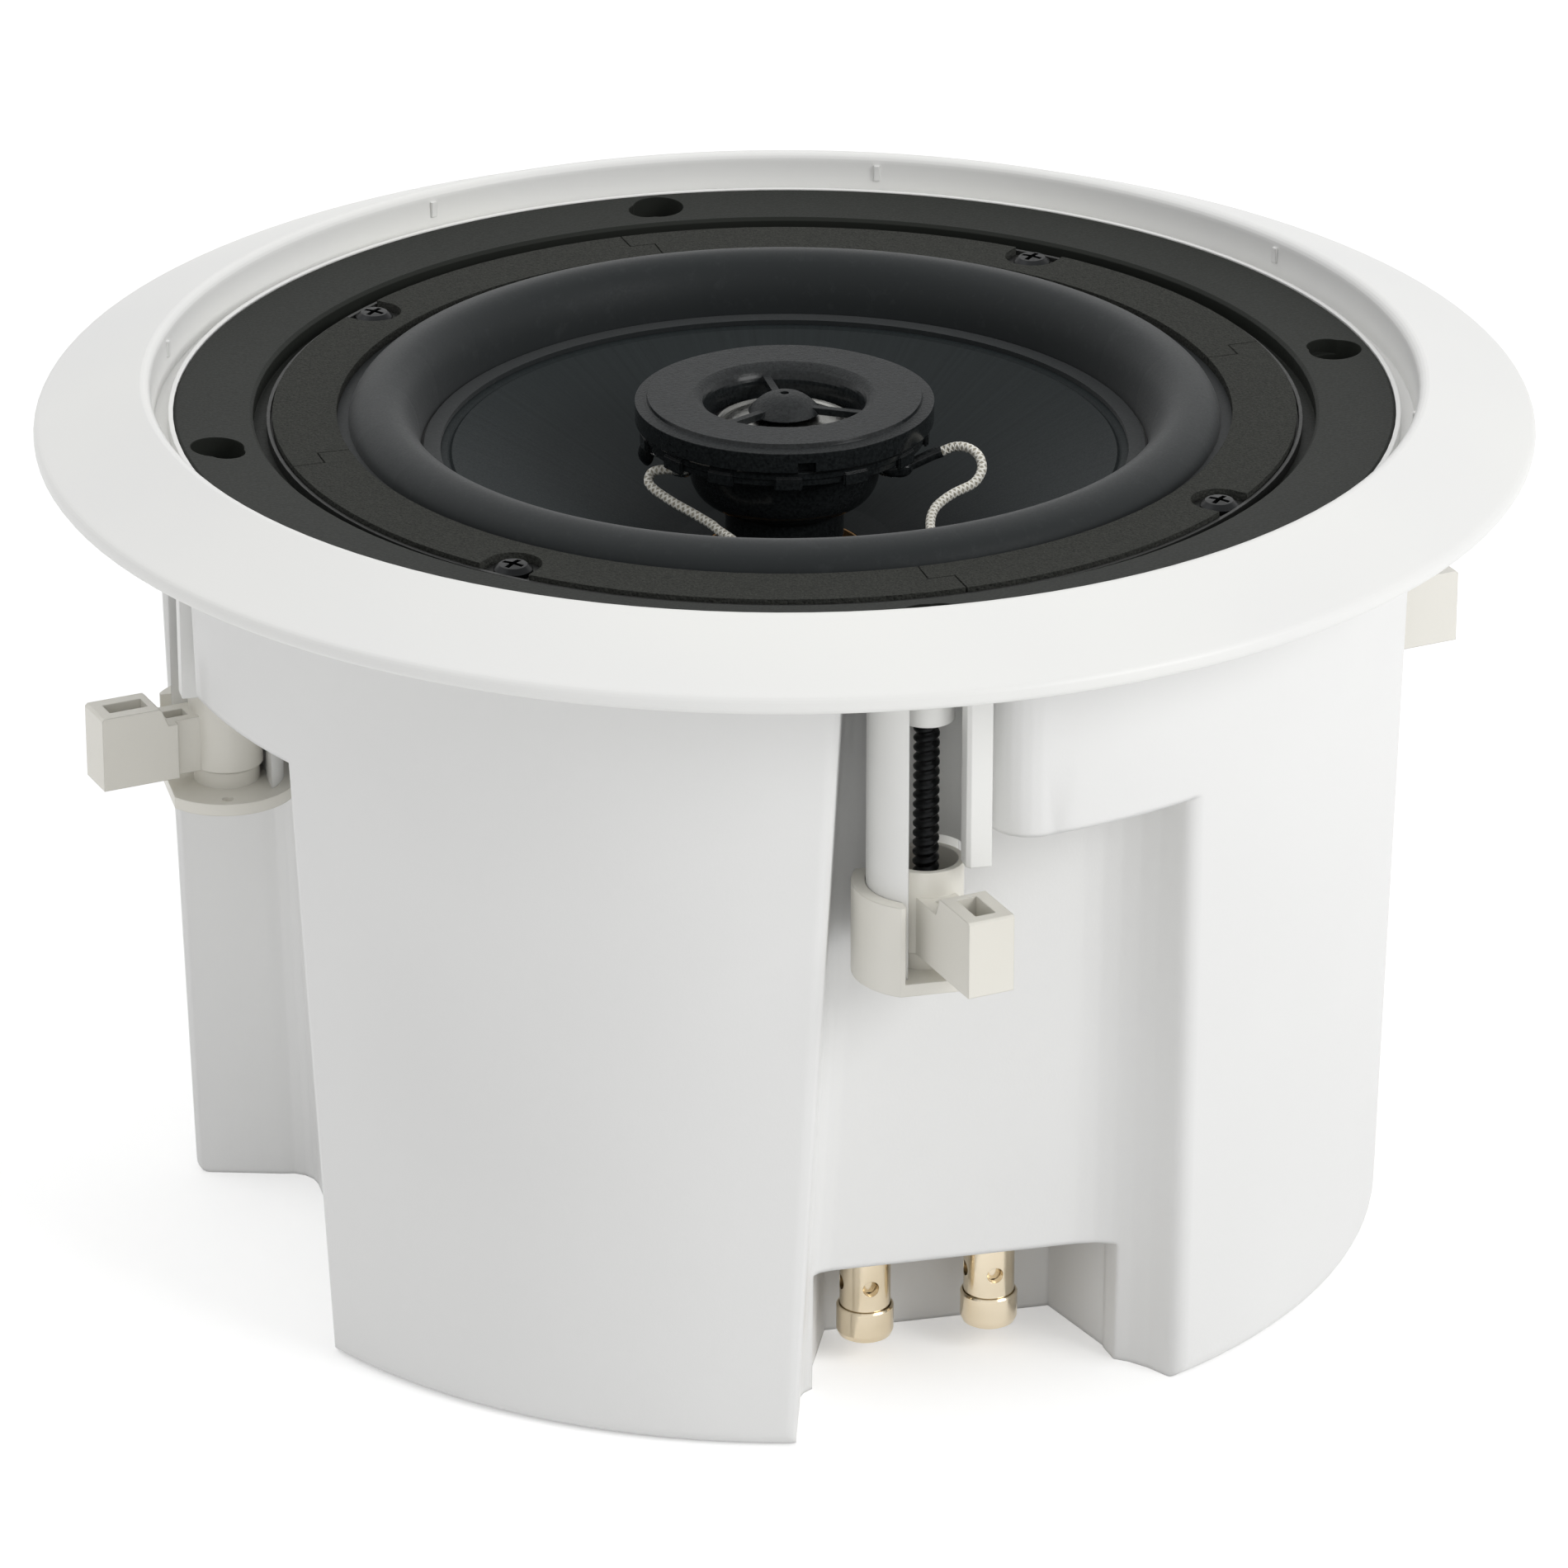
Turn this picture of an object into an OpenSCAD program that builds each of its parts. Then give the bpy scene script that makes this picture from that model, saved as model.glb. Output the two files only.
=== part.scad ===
// Coaxial ceiling loudspeaker with a back can and four swing-out clamps.
// It stands on the foot of its can, face up. The front clamp lies at -Y.
// All heights are taken from the foot of the can.

/* [Flange and bezel] */
// Outside diameter of the flange that covers the ceiling cut-out
flange_d = 236; // [228:1:250]
// Thickness of the flange at its outer edge
flange_edge = 3; // [2.4:0.1:4]
// Rise of the inner lip above the flange edge
lip_rise = 6.1; // [4:0.1:8]
// Diameter inside the lip, where the grille sits
lip_d = 199; // [198:0.2:201]
// Depth from the lip to the floor of the grille groove
groove_depth = 7.4; // [7:0.1:8]
// Thickness of the deck that carries the baffle
deck_t = 3; // [2.6:0.1:3.4]
// Width of the thin ring edge round the baffle
ring_edge = 0.8; // [0.6:0.1:1.2]
// Number of small grille ribs inside the lip
grille_ribs = 8; // [4:1:12]

/* [Back can] */
// Height of the can from its foot to the flange
can_h = 131.7; // [128:0.5:145]
// Outside diameter of the can under the flange
can_d = 198.8; // [197:0.2:200]
// How much the radius shrinks towards the foot
can_draft = 3; // [1:0.1:4]
// Wall thickness of the can
can_wall = 2.5; // [2:0.1:3]
// Radius of the rounded outer edge of the foot
foot_round = 2.5; // [1:0.1:3.5]

/* [Clamp recesses] */
// Distance from the clamp axis to the left wall, at the flange
recess_left = 14.2; // [13.5:0.1:15]
// Distance from the clamp axis to the right wall, at the flange
recess_right = 42; // [38:0.5:44]
// Distance from the speaker axis to the back wall, at the flange
recess_back = 80.3; // [80:0.1:80.8]
// How far the left wall leans out towards the foot
lean_left = 6.1; // [3:0.1:7]
// How far the back wall leans in towards the foot
lean_back = 4.8; // [3:0.1:5.5]
// Height of the underside of the hood over the parked arm
hood_z = 100.5; // [99.5:0.5:104]
// Distance from the clamp axis to the hood
hood_x = 8.4; // [8.3:0.1:10]
// Width of the hood's rounded inner edge, seen from above
hood_round = 9.6; // [6:0.2:11]

/* [Terminal pocket] */
// Distance from the speaker axis to the pocket's back wall
pocket_back = 57.3; // [54:0.1:59]
// Width of the pocket at its back wall
pocket_w = 36.5; // [34:0.5:40]
// Height of the edge above the pocket's mouth
pocket_lip = 20.5; // [18:0.1:24]
// Height of the pocket's roof
pocket_roof = 28; // [26:0.1:32]
// Distance between the two terminals
terminal_pitch = 20; // [19:0.1:21]
// Diameter of a terminal's barrel
terminal_d = 8; // [7.6:0.1:8.4]
// Height of a terminal's cap
cap_h = 5.6; // [5:0.1:6]
// Diameter of the holes that take the wire
wire_hole_d = 2.6; // [2:0.1:3]
// Travel of a cap when it is pushed to take the wire
cap_travel = 2.5; // [1.5:0.1:2.6]

/* [Clamps] */
// Distance from the speaker axis to a clamp's axis
clamp_r = 90.5; // [90.2:0.1:90.8]
// Diameter of the clamp screw
screw_d = 4; // [3.5:0.1:4.4]
// Diameter over the round side of the guide
guide_d = 18; // [17.4:0.1:18.4]
// Wall thickness of the guide
guide_wall = 2.8; // [2.4:0.1:2.8]
// Width of the slot that the arm climbs in
slot_w = 8.85; // [8.8:0.05:9.2]
// Outside diameter of the clamp's hub
hub_d = 11.6; // [11:0.1:11.8]
// Height of the top of the hub in its lowest place
hub_top = 95.8; // [95:0.1:96.5]
// Height of the hub and the arm
hub_h = 13.3; // [12.5:0.1:13.4]
// Length of the arm from the clamp axis to its tip
arm_len = 22; // [19:0.5:24]
// Width of the arm
arm_w = 7.5; // [6.5:0.1:7.6]
// Angle of the arm from straight out, as stored
arm_angle = 12; // [4:1:12]
// Outside diameter of the foot that carries the screw's tip
foot_d = 22.4; // [22:0.1:23]

/* [Woofer] */
// Diameter of the driver's rim
rim_d = 163; // [161:0.5:165]
// Inside diameter of the gasket
gasket_in = 141; // [139:0.5:143]
// Thickness of the gasket
gasket_t = 1.5; // [0.8:0.1:1.7]
// Outside diameter of the rubber surround's roll
roll_out = 137.4; // [136.6:0.2:138.4]
// Inside diameter of the roll
roll_in = 115; // [113:0.5:117]
// Height of the roll's crest above the gasket's seat
roll_rise = 3.9; // [2:0.1:5]
// Depth of the cone from its edge to its neck
cone_depth = 19; // [15:0.5:20]
// Diameter of the voice coil's former
coil_d = 25.4; // [25:0.1:26]
// Outside diameter of the magnet
magnet_d = 90; // [70:1:92]
// Thickness of the magnet
magnet_t = 15; // [10:0.5:18]
// Thickness of the front plate
plate_t = 5; // [4:0.1:6]
// Travel of the cone each way
cone_travel = 3; // [1:0.5:3]

/* [Tweeter] */
// Diameter of the tweeter's face
face_d = 47.2; // [44:0.2:50]
// Height of the face above the flange edge
face_rise = 1.3; // [0:0.1:2]
// Thickness of the face at its rim
face_t = 4.5; // [4:0.1:5]
// Diameter of the horn's mouth
mouth_d = 28.8; // [27:0.2:30]
// Diameter of the horn's throat
throat_d = 24.4; // [23.4:0.2:25]
// Diameter of the phase plug
plug_d = 11.4; // [9:0.2:12]
// Diameter of the dome
dome_d = 20; // [19:0.2:20.4]

/* [Hidden] */

// Colours
white = [0.93, 0.93, 0.91];
ivory = [0.90, 0.89, 0.84];
satin_black = [0.13, 0.135, 0.13];
felt_black = [0.17, 0.17, 0.16];
rubber_black = [0.14, 0.15, 0.16];
poly_grey = [0.16, 0.17, 0.17];
steel = [0.62, 0.63, 0.64];
ferrite = [0.2, 0.2, 0.21];
copper = [0.72, 0.43, 0.25];
pale_gold = [0.86, 0.80, 0.66];
black_oxide = [0.09, 0.09, 0.1];
braid = [0.88, 0.87, 0.82];

// Clearances and small overlaps
fit = 0.05;        // running fit, on the radius
free = 0.3;        // clear gap between pieces that only lie near each other
eps = 0.01;        // cuts run past the face by this much
front = 0;         // quarter turns of the four clamps and gasket joints
right = 1;
back = 2;
left = 3;
turns = [0, 1, 2, 3];

// Heights, from the foot of the can
edge_z = can_h + flange_edge;
lip_z = edge_z + lip_rise;
groove_z = lip_z - groove_depth;
deck_top = can_h - 0.7;
deck_bot = deck_top - deck_t;
baffle_top = edge_z + 0.9;
baffle_in_top = edge_z + 0.3;
ledge_t = 1.1;
ledge_z = deck_top + ledge_t;
rim_t = 0.9;
seat_z = ledge_z + rim_t;            // the gasket's seat on the rim
rim_lip_z = edge_z - 0.9;

// Radii
flange_r = flange_d / 2;
lip_r = lip_d / 2;
groove_w = 2.3;
edge_r = lip_r - 0.3 - groove_w;     // outside of the thin ring edge
baffle_r = edge_r - ring_edge;
baffle_gap = 0.1;
rim_rebate = 0.3;                    // the can's rim sits this deep in the flange
well_r = rim_d / 2 + 2.1;            // the recess that the driver's rim sits in
deck_in = rim_d / 2 - 6;
rim_r = rim_d / 2;
can_r = can_d / 2;
foot_r = can_r - can_draft;
can_open_r = can_r - can_wall;

// Clamps, in the clamp's own frame: the axis at the origin, outwards at -Y
screw_r = screw_d / 2;
guide_r = guide_d / 2;
guide_in = guide_r - guide_wall;
guide_front = 8;
slot_left = slot_w / 2 + 0.17;
slot_right = slot_w / 2 - 0.17;
rib_w = 3.85;
boss_r = 4.2;
boss_h = 5.3;
boss_top = deck_bot - 4;
boss_z = boss_top - boss_h;
head_r = 3.7;
head_h = 2.4;
head_seat = boss_top + 1.8;
head_bore_r = head_r + 0.5;
hub_r = hub_d / 2;
hub_z = hub_top - hub_h;
hub_bore_r = boss_r + 0.7;
hub_bore_depth = 6.8;
arm_drop = 1.1;                      // the arm's top below the hub's top
step_drop = 3;                       // the inner block's top below the arm's
block_start = guide_front + 1.4;
step_at = 11;                        // the raised block's inner end, from the clamp's axis
neck_right = 2.4;
rib_end = hub_top + 1.2;
foot_plate_t = 2;
spigot_r = 5.2;
spigot_h = 2.6;
foot_top = hub_z - free - spigot_h;  // upper face of the foot's plate
foot_z = foot_top - foot_plate_t;
foot_r_out = foot_d / 2;
foot_wall_h = 12.6;
foot_wall_in = guide_r + 0.1;
screw_tip = foot_z + 0.8;

// Driver
roll_r_out = roll_out / 2;
roll_r_in = roll_in / 2;
skin = 0.9;                          // thickness of the surround
roll_drop = 5;                       // the roll's inner edge below its seat
cone_t = 0.8;
cone_edge_z = seat_z - roll_drop - skin;
cone_r_out = roll_r_in;
groove_r = roll_r_in - 4.6;
neck_r = coil_d / 2 + 0.35 + fit;
neck_z = cone_edge_z - cone_depth;
gasket_r_in = gasket_in / 2;
gasket_r_out = rim_r - 0.9;
driver_screw_pcd = rim_d - 7;
driver_screw_r = 1.75;
driver_head_r = 3;
coil_r = coil_d / 2;
former_t = 0.3;
pole_r = coil_r - former_t - 0.4;
gap_r = coil_r + 1.1;
spider_z = neck_z - 4.5;
basket_wall = 1.2;
basket_floor = spider_z - 3.4;
plate_top = basket_floor - basket_wall;
magnet_top = plate_top - plate_t;
magnet_z = magnet_top - magnet_t;
yoke_t = 5.5;
yoke_z = magnet_z - yoke_t;
former_top = neck_z + 1.6;
former_bot = magnet_top - cone_travel - 1;

// Tweeter
face_z = edge_z + face_rise;
face_r = face_d / 2;
face_low = face_z - face_t;
mouth_r = mouth_d / 2;
throat_r = throat_d / 2;
plug_r = plug_d / 2;
dome_r = dome_d / 2;
band_r = face_r - 6.1;
band_h = 4.6;
band_low = face_low - band_h;
taper_h = 8.6;
taper_low = band_low - taper_h;
post_r = pole_r - 2.6;
post_top = taper_low - 0.8;
housing_wall = 1.4;
dome_seat = face_low - 0.9;
dome_rise = 2.2;
dome_roll = 1.5;
voice_h = 1.8;                       // length of the tweeter's coil
dome_travel = 0.3;
magnet_seat = band_low + 0.8;

// Terminals
pocket_mid = 10.95;
terminal_y = -(pocket_back + 9.7);
terminal_mid = pocket_mid - 4.1;
terminal_r = terminal_d / 2;
cap_r = terminal_r + 0.5;
cap_z = 3.9;
cap_floor = 1.5;
plunger_r = terminal_r - 1.4;
barrel_z = cap_z + cap_floor + cap_travel + 0.2;
hole_z = cap_z + cap_h + 2.8 + wire_hole_d / 2;
plunger_top = hole_z + 6;
spring_top = plunger_top + 4.4;
stud_r = 2;

// Crossover inside the can
board_l = 58;
board_w = 40;
board_t = 1.6;
board_y = 22;
board_z = can_wall + 6;

// Routes of the two tweeter leads, from the housing to the cone. Heights are from the
// underside of the flange.
lead_d = 1.5;
lead_left_path = [[-17.1, -2.7, -6.3], [-18.6, -1.9, -6.1], [-20.1, -1.0, -6.3],
  [-21.6, -0.4, -6.9], [-22.3, -1.3, -8.0], [-21.8, -2.8, -8.7], [-20.9, -4.2, -9.2],
  [-20.0, -5.6, -9.6], [-19.0, -7.0, -10.0], [-17.9, -8.3, -10.4], [-16.7, -9.5, -10.9],
  [-15.6, -10.7, -11.4], [-14.6, -12.1, -11.8], [-13.9, -13.6, -12.2], [-13.1, -15.1, -12.5],
  [-12.3, -16.7, -12.8], [-11.7, -18.2, -13.2], [-11.4, -19.8, -13.8], [-11.2, -21.4, -14.4],
  [-10.9, -23.1, -14.8]];
lead_right_path = [[14.4, -10.2, -6.3], [16.1, -10.2, -5.9], [17.9, -10.2, -5.4],
  [19.6, -10.3, -4.7], [21.3, -10.4, -4.0], [22.9, -10.7, -3.4], [24.6, -11.1, -2.7],
  [26.0, -12.1, -2.4], [27.2, -13.5, -2.6], [27.9, -15.0, -3.3], [27.9, -16.5, -4.4],
  [27.1, -17.8, -5.3], [25.8, -18.9, -6.0], [24.2, -19.7, -6.3], [22.6, -20.5, -6.5],
  [21.1, -21.4, -6.8], [19.6, -22.5, -7.2], [18.4, -23.7, -7.6], [17.5, -25.2, -8.1],
  [16.9, -26.8, -8.6], [16.5, -28.5, -9.1], [16.1, -30.2, -9.5], [15.6, -31.9, -9.9],
  [14.9, -33.6, -10.1]];

// Points along an arc
function arc(x, y, r, a0, a1, n) =
  [for (i = [0:n]) let (a = a0 + (a1 - a0) * i / n) [x + r * cos(a), y + r * sin(a)]];
// Points along a quadratic curve
function bend(p, q, r, n) =
  [for (i = [0:n]) let (t = i / n) (1 - t) * (1 - t) * p + 2 * t * (1 - t) * q + t * t * r];
function rest_of(v) = [for (i = [1:len(v) - 1]) v[i]];
function mix(a, b, t) = a + (b - a) * t;
function can_r_at(z) = mix(foot_r, can_r, z / can_h);

module quarter(i) { rotate([0, 0, 90 * i]) children(); }
module at_clamp(i) { quarter(i) translate([0, -clamp_r, 0]) children(); }
module tube(r_out, r_in, h) {
  difference() {
    cylinder(r = r_out, h = h, $fn = 96);
    translate([0, 0, -eps]) cylinder(r = r_in, h = h + 2 * eps, $fn = 96);
  }
}
// Closed solid through a stack of clockwise outlines with the same number of points
module loft(outlines, heights) {
  n = len(outlines[0]);
  last = len(outlines) - 1;
  pts = [for (k = [0:last]) for (p = outlines[k]) [p[0], p[1], heights[k]]];
  sides = [for (k = [0:last - 1]) for (i = [0:n - 1]) for (f = [
    [k * n + i, (k + 1) * n + (i + 1) % n, (k + 1) * n + i],
    [k * n + i, k * n + (i + 1) % n, (k + 1) * n + (i + 1) % n]]) f];
  polyhedron(points = pts,
    faces = concat([[for (i = [n - 1:-1:0]) i]], sides, [[for (i = [0:n - 1]) last * n + i]]));
}

// Flange, inner lip and deck in one moulding, with the four clamp guides under it
module bezel_profile() {
  polygon(concat(
    [[deck_in, deck_bot], [can_open_r - 0.2, deck_bot], [can_open_r - 0.2, can_h + rim_rebate],
     [can_r + free, can_h + rim_rebate], [can_r + free, can_h]],
    arc(flange_r - 1.2, can_h + 1.2, 1.2, -90, 0, 4),
    arc(flange_r - 1.4, edge_z - 1.4, 1.4, 0, 70, 4),
    arc(lip_r + 1.4, lip_z - 1.4, 1.4, 80, 180, 5),
    [[lip_r - 0.3, groove_z], [edge_r, groove_z], [edge_r, baffle_top],
     [baffle_r, baffle_top], [baffle_r, deck_top], [deck_in, deck_top]]));
}
module guide_plan() {
  difference() {
    union() {
      intersection() {
        circle(r = guide_r, $fn = 96);
        translate([-guide_r, -guide_front]) square([2 * guide_r, guide_front + guide_r]);
      }
      translate([slot_right, -guide_front]) square([rib_w, guide_front + 2]);
    }
    circle(r = guide_in, $fn = 96);
    translate([-slot_left, -guide_r - 1]) square([slot_left + slot_right, guide_r + 1]);
    translate([slot_right, -guide_front]) rotate(45) square([0.8, 0.8], center = true);
  }
}
module guide() {
  low = rib_end - foot_top;
  difference() {
    translate([0, 0, foot_top]) linear_extrude(deck_bot - foot_top + eps) guide_plan();
    // Below the rib the arm swings out to the right
    translate([-slot_left, -guide_r - 1, foot_top - eps])
      cube([slot_left + guide_r + 1, guide_r + 1 + hub_r + 0.2, low + eps]);
  }
  translate([0, 0, boss_z]) cylinder(r = boss_r, h = deck_bot - boss_z + eps, $fn = 64);
  translate([0, 0, boss_top]) cylinder(r = guide_in + 0.6, h = deck_bot - boss_top + eps, $fn = 64);
}
module bezel_frame() {
  color(white) difference() {
    union() {
      rotate_extrude($fn = 180) bezel_profile();
      for (i = turns) at_clamp(i) guide();
      for (i = [0:grille_ribs - 1]) rotate([0, 0, 360 * (i + 0.5) / grille_ribs])
        translate([-0.5, -lip_r - 0.2, lip_z - 4.4]) cube([1, 0.7, 2.6]);
    }
    for (i = turns) at_clamp(i) {
      translate([0, 0, boss_z - eps]) cylinder(r = screw_r + free, h = deck_top, $fn = 48);
      translate([0, 0, head_seat]) cylinder(r = head_bore_r, h = deck_top, $fn = 64);
    }
    for (i = turns) rotate([0, 0, 45 + 90 * i]) translate([0, -driver_screw_pcd / 2, deck_bot - eps])
      cylinder(r = driver_screw_r + fit, h = deck_t + 2 * eps, $fn = 32);
  }
}

// Outline of a clamp's recess at one height, clamp at -Y, grown by g for the inside of the can.
// Below the hood its right side is a long hollow bend, and beside the hood the hood's round edge.
function recess_outline(z, x_right, hooded, g) = let (
    t = z / can_h,
    r = can_r_at(z) + 0.05,
    q = 2.6,
    f = 5,
    xl = mix(recess_left + lean_left, recess_left, t) + g,
    xr = x_right + g,
    x_out = hooded ? xr + hood_round : xr,
    y = g - mix(recess_back - lean_back, recess_back, t),
    al = asin(xl / r), ar = asin(x_out / r), turn = q / r * 180 / PI,
    cl = r * [-sin(al), -cos(al)], cr = r * [sin(ar), -cos(ar)],
    pl = r * [-sin(al + turn), -cos(al + turn)], pr = r * [sin(ar + turn), -cos(ar + turn)],
    lip = hooded ? [xr, y - 6] : cr + [-0.55 * q, 0.8 * q])
  concat([pl * 1.12], bend(pl, cl, cl + [0.12, q], 3),
    arc(f + 3.4 - xl, y - f, f, 180, 90, 4),
    hooded ? bend([xr - 3.4, y], [xr, y], lip, 5) : bend([xr - 14, y], [xr - 6.4, y], lip, 5),
    rest_of(hooded ? bend(lip, [xr + 0.4, -r - 0.6], cr, 9) : bend(lip, cr, pr, 9)), [pr * 1.12]);
module recess(g, right_low) {
  low = [-0.5, hood_z + g];
  high = [hood_z + g + 0.02, can_h + 0.5];
  loft(concat([for (z = low) recess_outline(z, mix(right_low, recess_right, z / can_h), false, g)],
      [for (z = high) recess_outline(z, hood_x, true, g)]), concat(low, high));
}
module pocket(g) {
  w = pocket_w / 2 + g;
  y0 = -(recess_back - lean_back);
  plan = [[pocket_mid - w, -pocket_back + g], [pocket_mid - w - 6.5, y0 + can_wall],
    [pocket_mid + w + 5, y0 + can_wall], [pocket_mid + w, -pocket_back + g]];
  mouth = [[pocket_mid - w - 6, y0 + can_wall + 1], [pocket_mid - w - 7.5, y0 - 8],
    [pocket_mid + w + 6, y0 - 8], [pocket_mid + w + 4.6, y0 + can_wall + 1]];
  translate([0, 0, -1]) linear_extrude(pocket_roof + g + 1) polygon(plan);
  translate([0, 0, -1]) linear_extrude(pocket_lip + g + 1) polygon(mouth);
}
function recess_foot(i) = i == front ? recess_right + 0.4 : recess_right + 4.5;
module can_voids(g) {
  for (i = turns) quarter(i) recess(g, recess_foot(i));
  // Room for the round guides beside the hoods
  for (i = turns) at_clamp(i) translate([0, 0, hood_z + g - 2])
    cylinder(r = guide_r + free + g, h = can_h, $fn = 64);
  pocket(g);
}
module back_can() {
  inner_foot = foot_r - can_wall;
  color(white) difference() {
    rotate_extrude($fn = 180) polygon(concat([[0, 0]],
      arc(foot_r - foot_round, foot_round, foot_round, -90, 0, 5), [[can_r, can_h], [0, can_h]]));
    can_voids(0);
    difference() {
      translate([0, 0, can_wall])
        cylinder(r1 = inner_foot, r2 = can_open_r, h = can_h - can_wall + eps, $fn = 180);
      difference() {
        can_voids(can_wall);
        translate([0, 0, deck_bot - free]) cylinder(r = can_open_r - eps, h = 10, $fn = 180);
      }
      for (x = [-1, 1]) for (y = [-1, 1])
        translate([x * (board_l / 2 - 4), board_y + y * (board_w / 2 - 4), 0])
          cylinder(r = 3, h = board_z, $fn = 32);
    }
    translate([0, 0, deck_bot - free]) cylinder(r = can_open_r, h = 10, $fn = 180);
    for (x = [-1, 1]) translate([terminal_mid + x * terminal_pitch / 2, terminal_y, pocket_roof - 1])
      cylinder(r = stud_r + 0.1, h = can_wall + 2, $fn = 32);
    for (x = [-1, 1]) for (y = [-1, 1])
      translate([x * (board_l / 2 - 4), board_y + y * (board_w / 2 - 4), can_wall])
        cylinder(r = 1.3, h = board_z, $fn = 24);
  }
}

// Black ring with the four clamp screw wells and the recess for the driver
module baffle_ring() {
  color(satin_black) difference() {
    rotate_extrude($fn = 180) polygon([[deck_in, deck_top], [baffle_r - baffle_gap, deck_top],
      [baffle_r - baffle_gap, baffle_top - 0.3], [baffle_r - 0.5, baffle_top],
      [well_r + 0.5, baffle_in_top], [well_r, baffle_in_top - 0.5], [well_r, ledge_z],
      [deck_in, ledge_z]]);
    for (i = turns) at_clamp(i) translate([0, 0, deck_top - 1]) {
      cylinder(r = head_bore_r, h = 12, $fn = 64);
      translate([2.2, 1, 3]) cylinder(r = 3, h = 12, $fn = 48);
    }
    for (i = turns) rotate([0, 0, 45 + 90 * i]) translate([0, -driver_screw_pcd / 2, deck_top - 1])
      cylinder(r = driver_screw_r + fit, h = 4, $fn = 32);
  }
}

// Stepped joints divide the gasket into four
gasket_gap = 0.25;
function gasket_arc(r, a0, a1, steps) = [for (i = [0:steps]) let (a = mix(a0, a1, i / steps)) r * [sin(a), -cos(a)]];
module gasket(i) {
  a = 3;                             // the joint's first angle, from the clamp's axis
  step = 3.2;                        // angle between the two halves of a joint
  mid = (gasket_r_in + gasket_r_out) / 2;
  ga = gasket_gap / mid * 90 / PI;
  color(felt_black) quarter(i) translate([0, 0, seat_z]) difference() {
    linear_extrude(gasket_t) polygon(concat(
      gasket_arc(gasket_r_in, a + ga, a + 90 - ga, 24),
      gasket_arc(mid + gasket_gap / 2, a + 90 - ga, a + 90 + step - ga, 2),
      gasket_arc(gasket_r_out, a + 90 + step - ga, a + step + ga, 24),
      gasket_arc(mid - gasket_gap / 2, a + step + ga, a + ga, 2)));
    rotate([0, 0, 45]) translate([0, -driver_screw_pcd / 2, -1]) {
      cylinder(r = driver_head_r + 1.4, h = 5, $fn = 48);
      translate([-driver_head_r - 1.4, -6, 0]) cube([2 * driver_head_r + 2.8, 6, 5]);
    }
  }
}

// Pressed basket: rim, windowed cone and floor
module driver_basket() {
  bend_r = deck_in - 3.2;
  foot = 46.5;
  color(satin_black) difference() {
    rotate_extrude($fn = 120) polygon([
      [roll_r_out - 0.6, ledge_z - 1.2], [bend_r - basket_wall, ledge_z - 1.2],
      [bend_r - basket_wall, ledge_z - 6], [foot - 0.4, spider_z + 2], [foot - 0.4, spider_z - free],
      [foot - 4, spider_z - free], [foot - 4, basket_floor], [gap_r + 6, basket_floor],
      [gap_r + 6, plate_top], [foot - 4 + basket_wall, plate_top],
      [foot - 4 + basket_wall, spider_z - 2.4], [foot + 0.8, spider_z - 2.4],
      [foot + 0.8, spider_z + 1.4], [bend_r, ledge_z - 6.4], [bend_r, ledge_z],
      [rim_r, ledge_z], [rim_r, rim_lip_z], [rim_r - 0.6, rim_lip_z], [rim_r - 0.6, seat_z],
      [roll_r_out + 3.4, seat_z], [roll_r_out + 3.4, seat_z - skin], [roll_r_out - 0.6, seat_z - skin]]);
    for (i = [0:5]) rotate([0, 0, 60 * i]) translate([46, 0, spider_z + 4]) hull() {
      translate([0, -15, 0]) cube([32, 30, 3]);
      translate([0, -22, 12]) cube([32, 44, 2]);
    }
    for (i = turns) rotate([0, 0, 45 + 90 * i]) translate([0, -driver_screw_pcd / 2, ledge_z - 1])
      cylinder(r = driver_screw_r + fit, h = 4, $fn = 32);
  }
}

// Half-roll rubber surround, glued under the gasket and to the cone's edge
module surround() {
  mid = (roll_r_out + roll_r_in) / 2;
  half = (roll_r_out - roll_r_in) / 2;
  top = seat_z + roll_rise;
  function roll(g) = [for (i = [0:20]) let (
      a = 180 * i / 20,
      base = a <= 90 ? seat_z - skin : seat_z - roll_drop - skin)
      [mid + (half - g) * cos(a), base + (top - g - base) * pow(sin(a), 0.85)]];
  color(rubber_black) rotate_extrude($fn = 120) polygon(concat(
    [[roll_r_out + 3.2, seat_z - skin], [roll_r_out + 3.2, seat_z - 0.02]],
    [[roll_r_out, seat_z - 0.02]], [for (p = roll(0)) if (p[1] > seat_z || p[0] < mid) p],
    [[roll_r_in - 3.2, seat_z - roll_drop], [roll_r_in - 3.2, seat_z - roll_drop - skin]],
    [for (i = [0:20]) roll(skin)[20 - i]]));
}

// Moulded cone with a fine groove inside its glued edge
module cone() {
  function rise(t) = mix(neck_z, cone_edge_z - 0.9, pow(t, 0.92));
  steps = 10;
  r_edge = groove_r - 0.4;
  color(poly_grey) rotate_extrude($fn = 120) polygon(concat(
    [[neck_r, neck_z]], [for (i = [1:steps]) [mix(neck_r, r_edge, i / steps), rise(i / steps)]],
    [[groove_r, cone_edge_z - cone_t - 0.3], [roll_r_in + 0.2, cone_edge_z - cone_t],
     [roll_r_in + 0.2, cone_edge_z - 0.02], [groove_r + 0.3, cone_edge_z - 0.02], [groove_r, cone_edge_z - 0.35]],
    [for (i = [0:steps - 1]) [mix(r_edge, neck_r, i / steps), rise(1 - i / steps) + cone_t]],
    [[neck_r, neck_z + cone_t + 0.6]]));
}
module coil_former() {
  color("tan") translate([0, 0, former_bot]) tube(coil_r, coil_r - former_t, former_top - former_bot);
}
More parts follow.
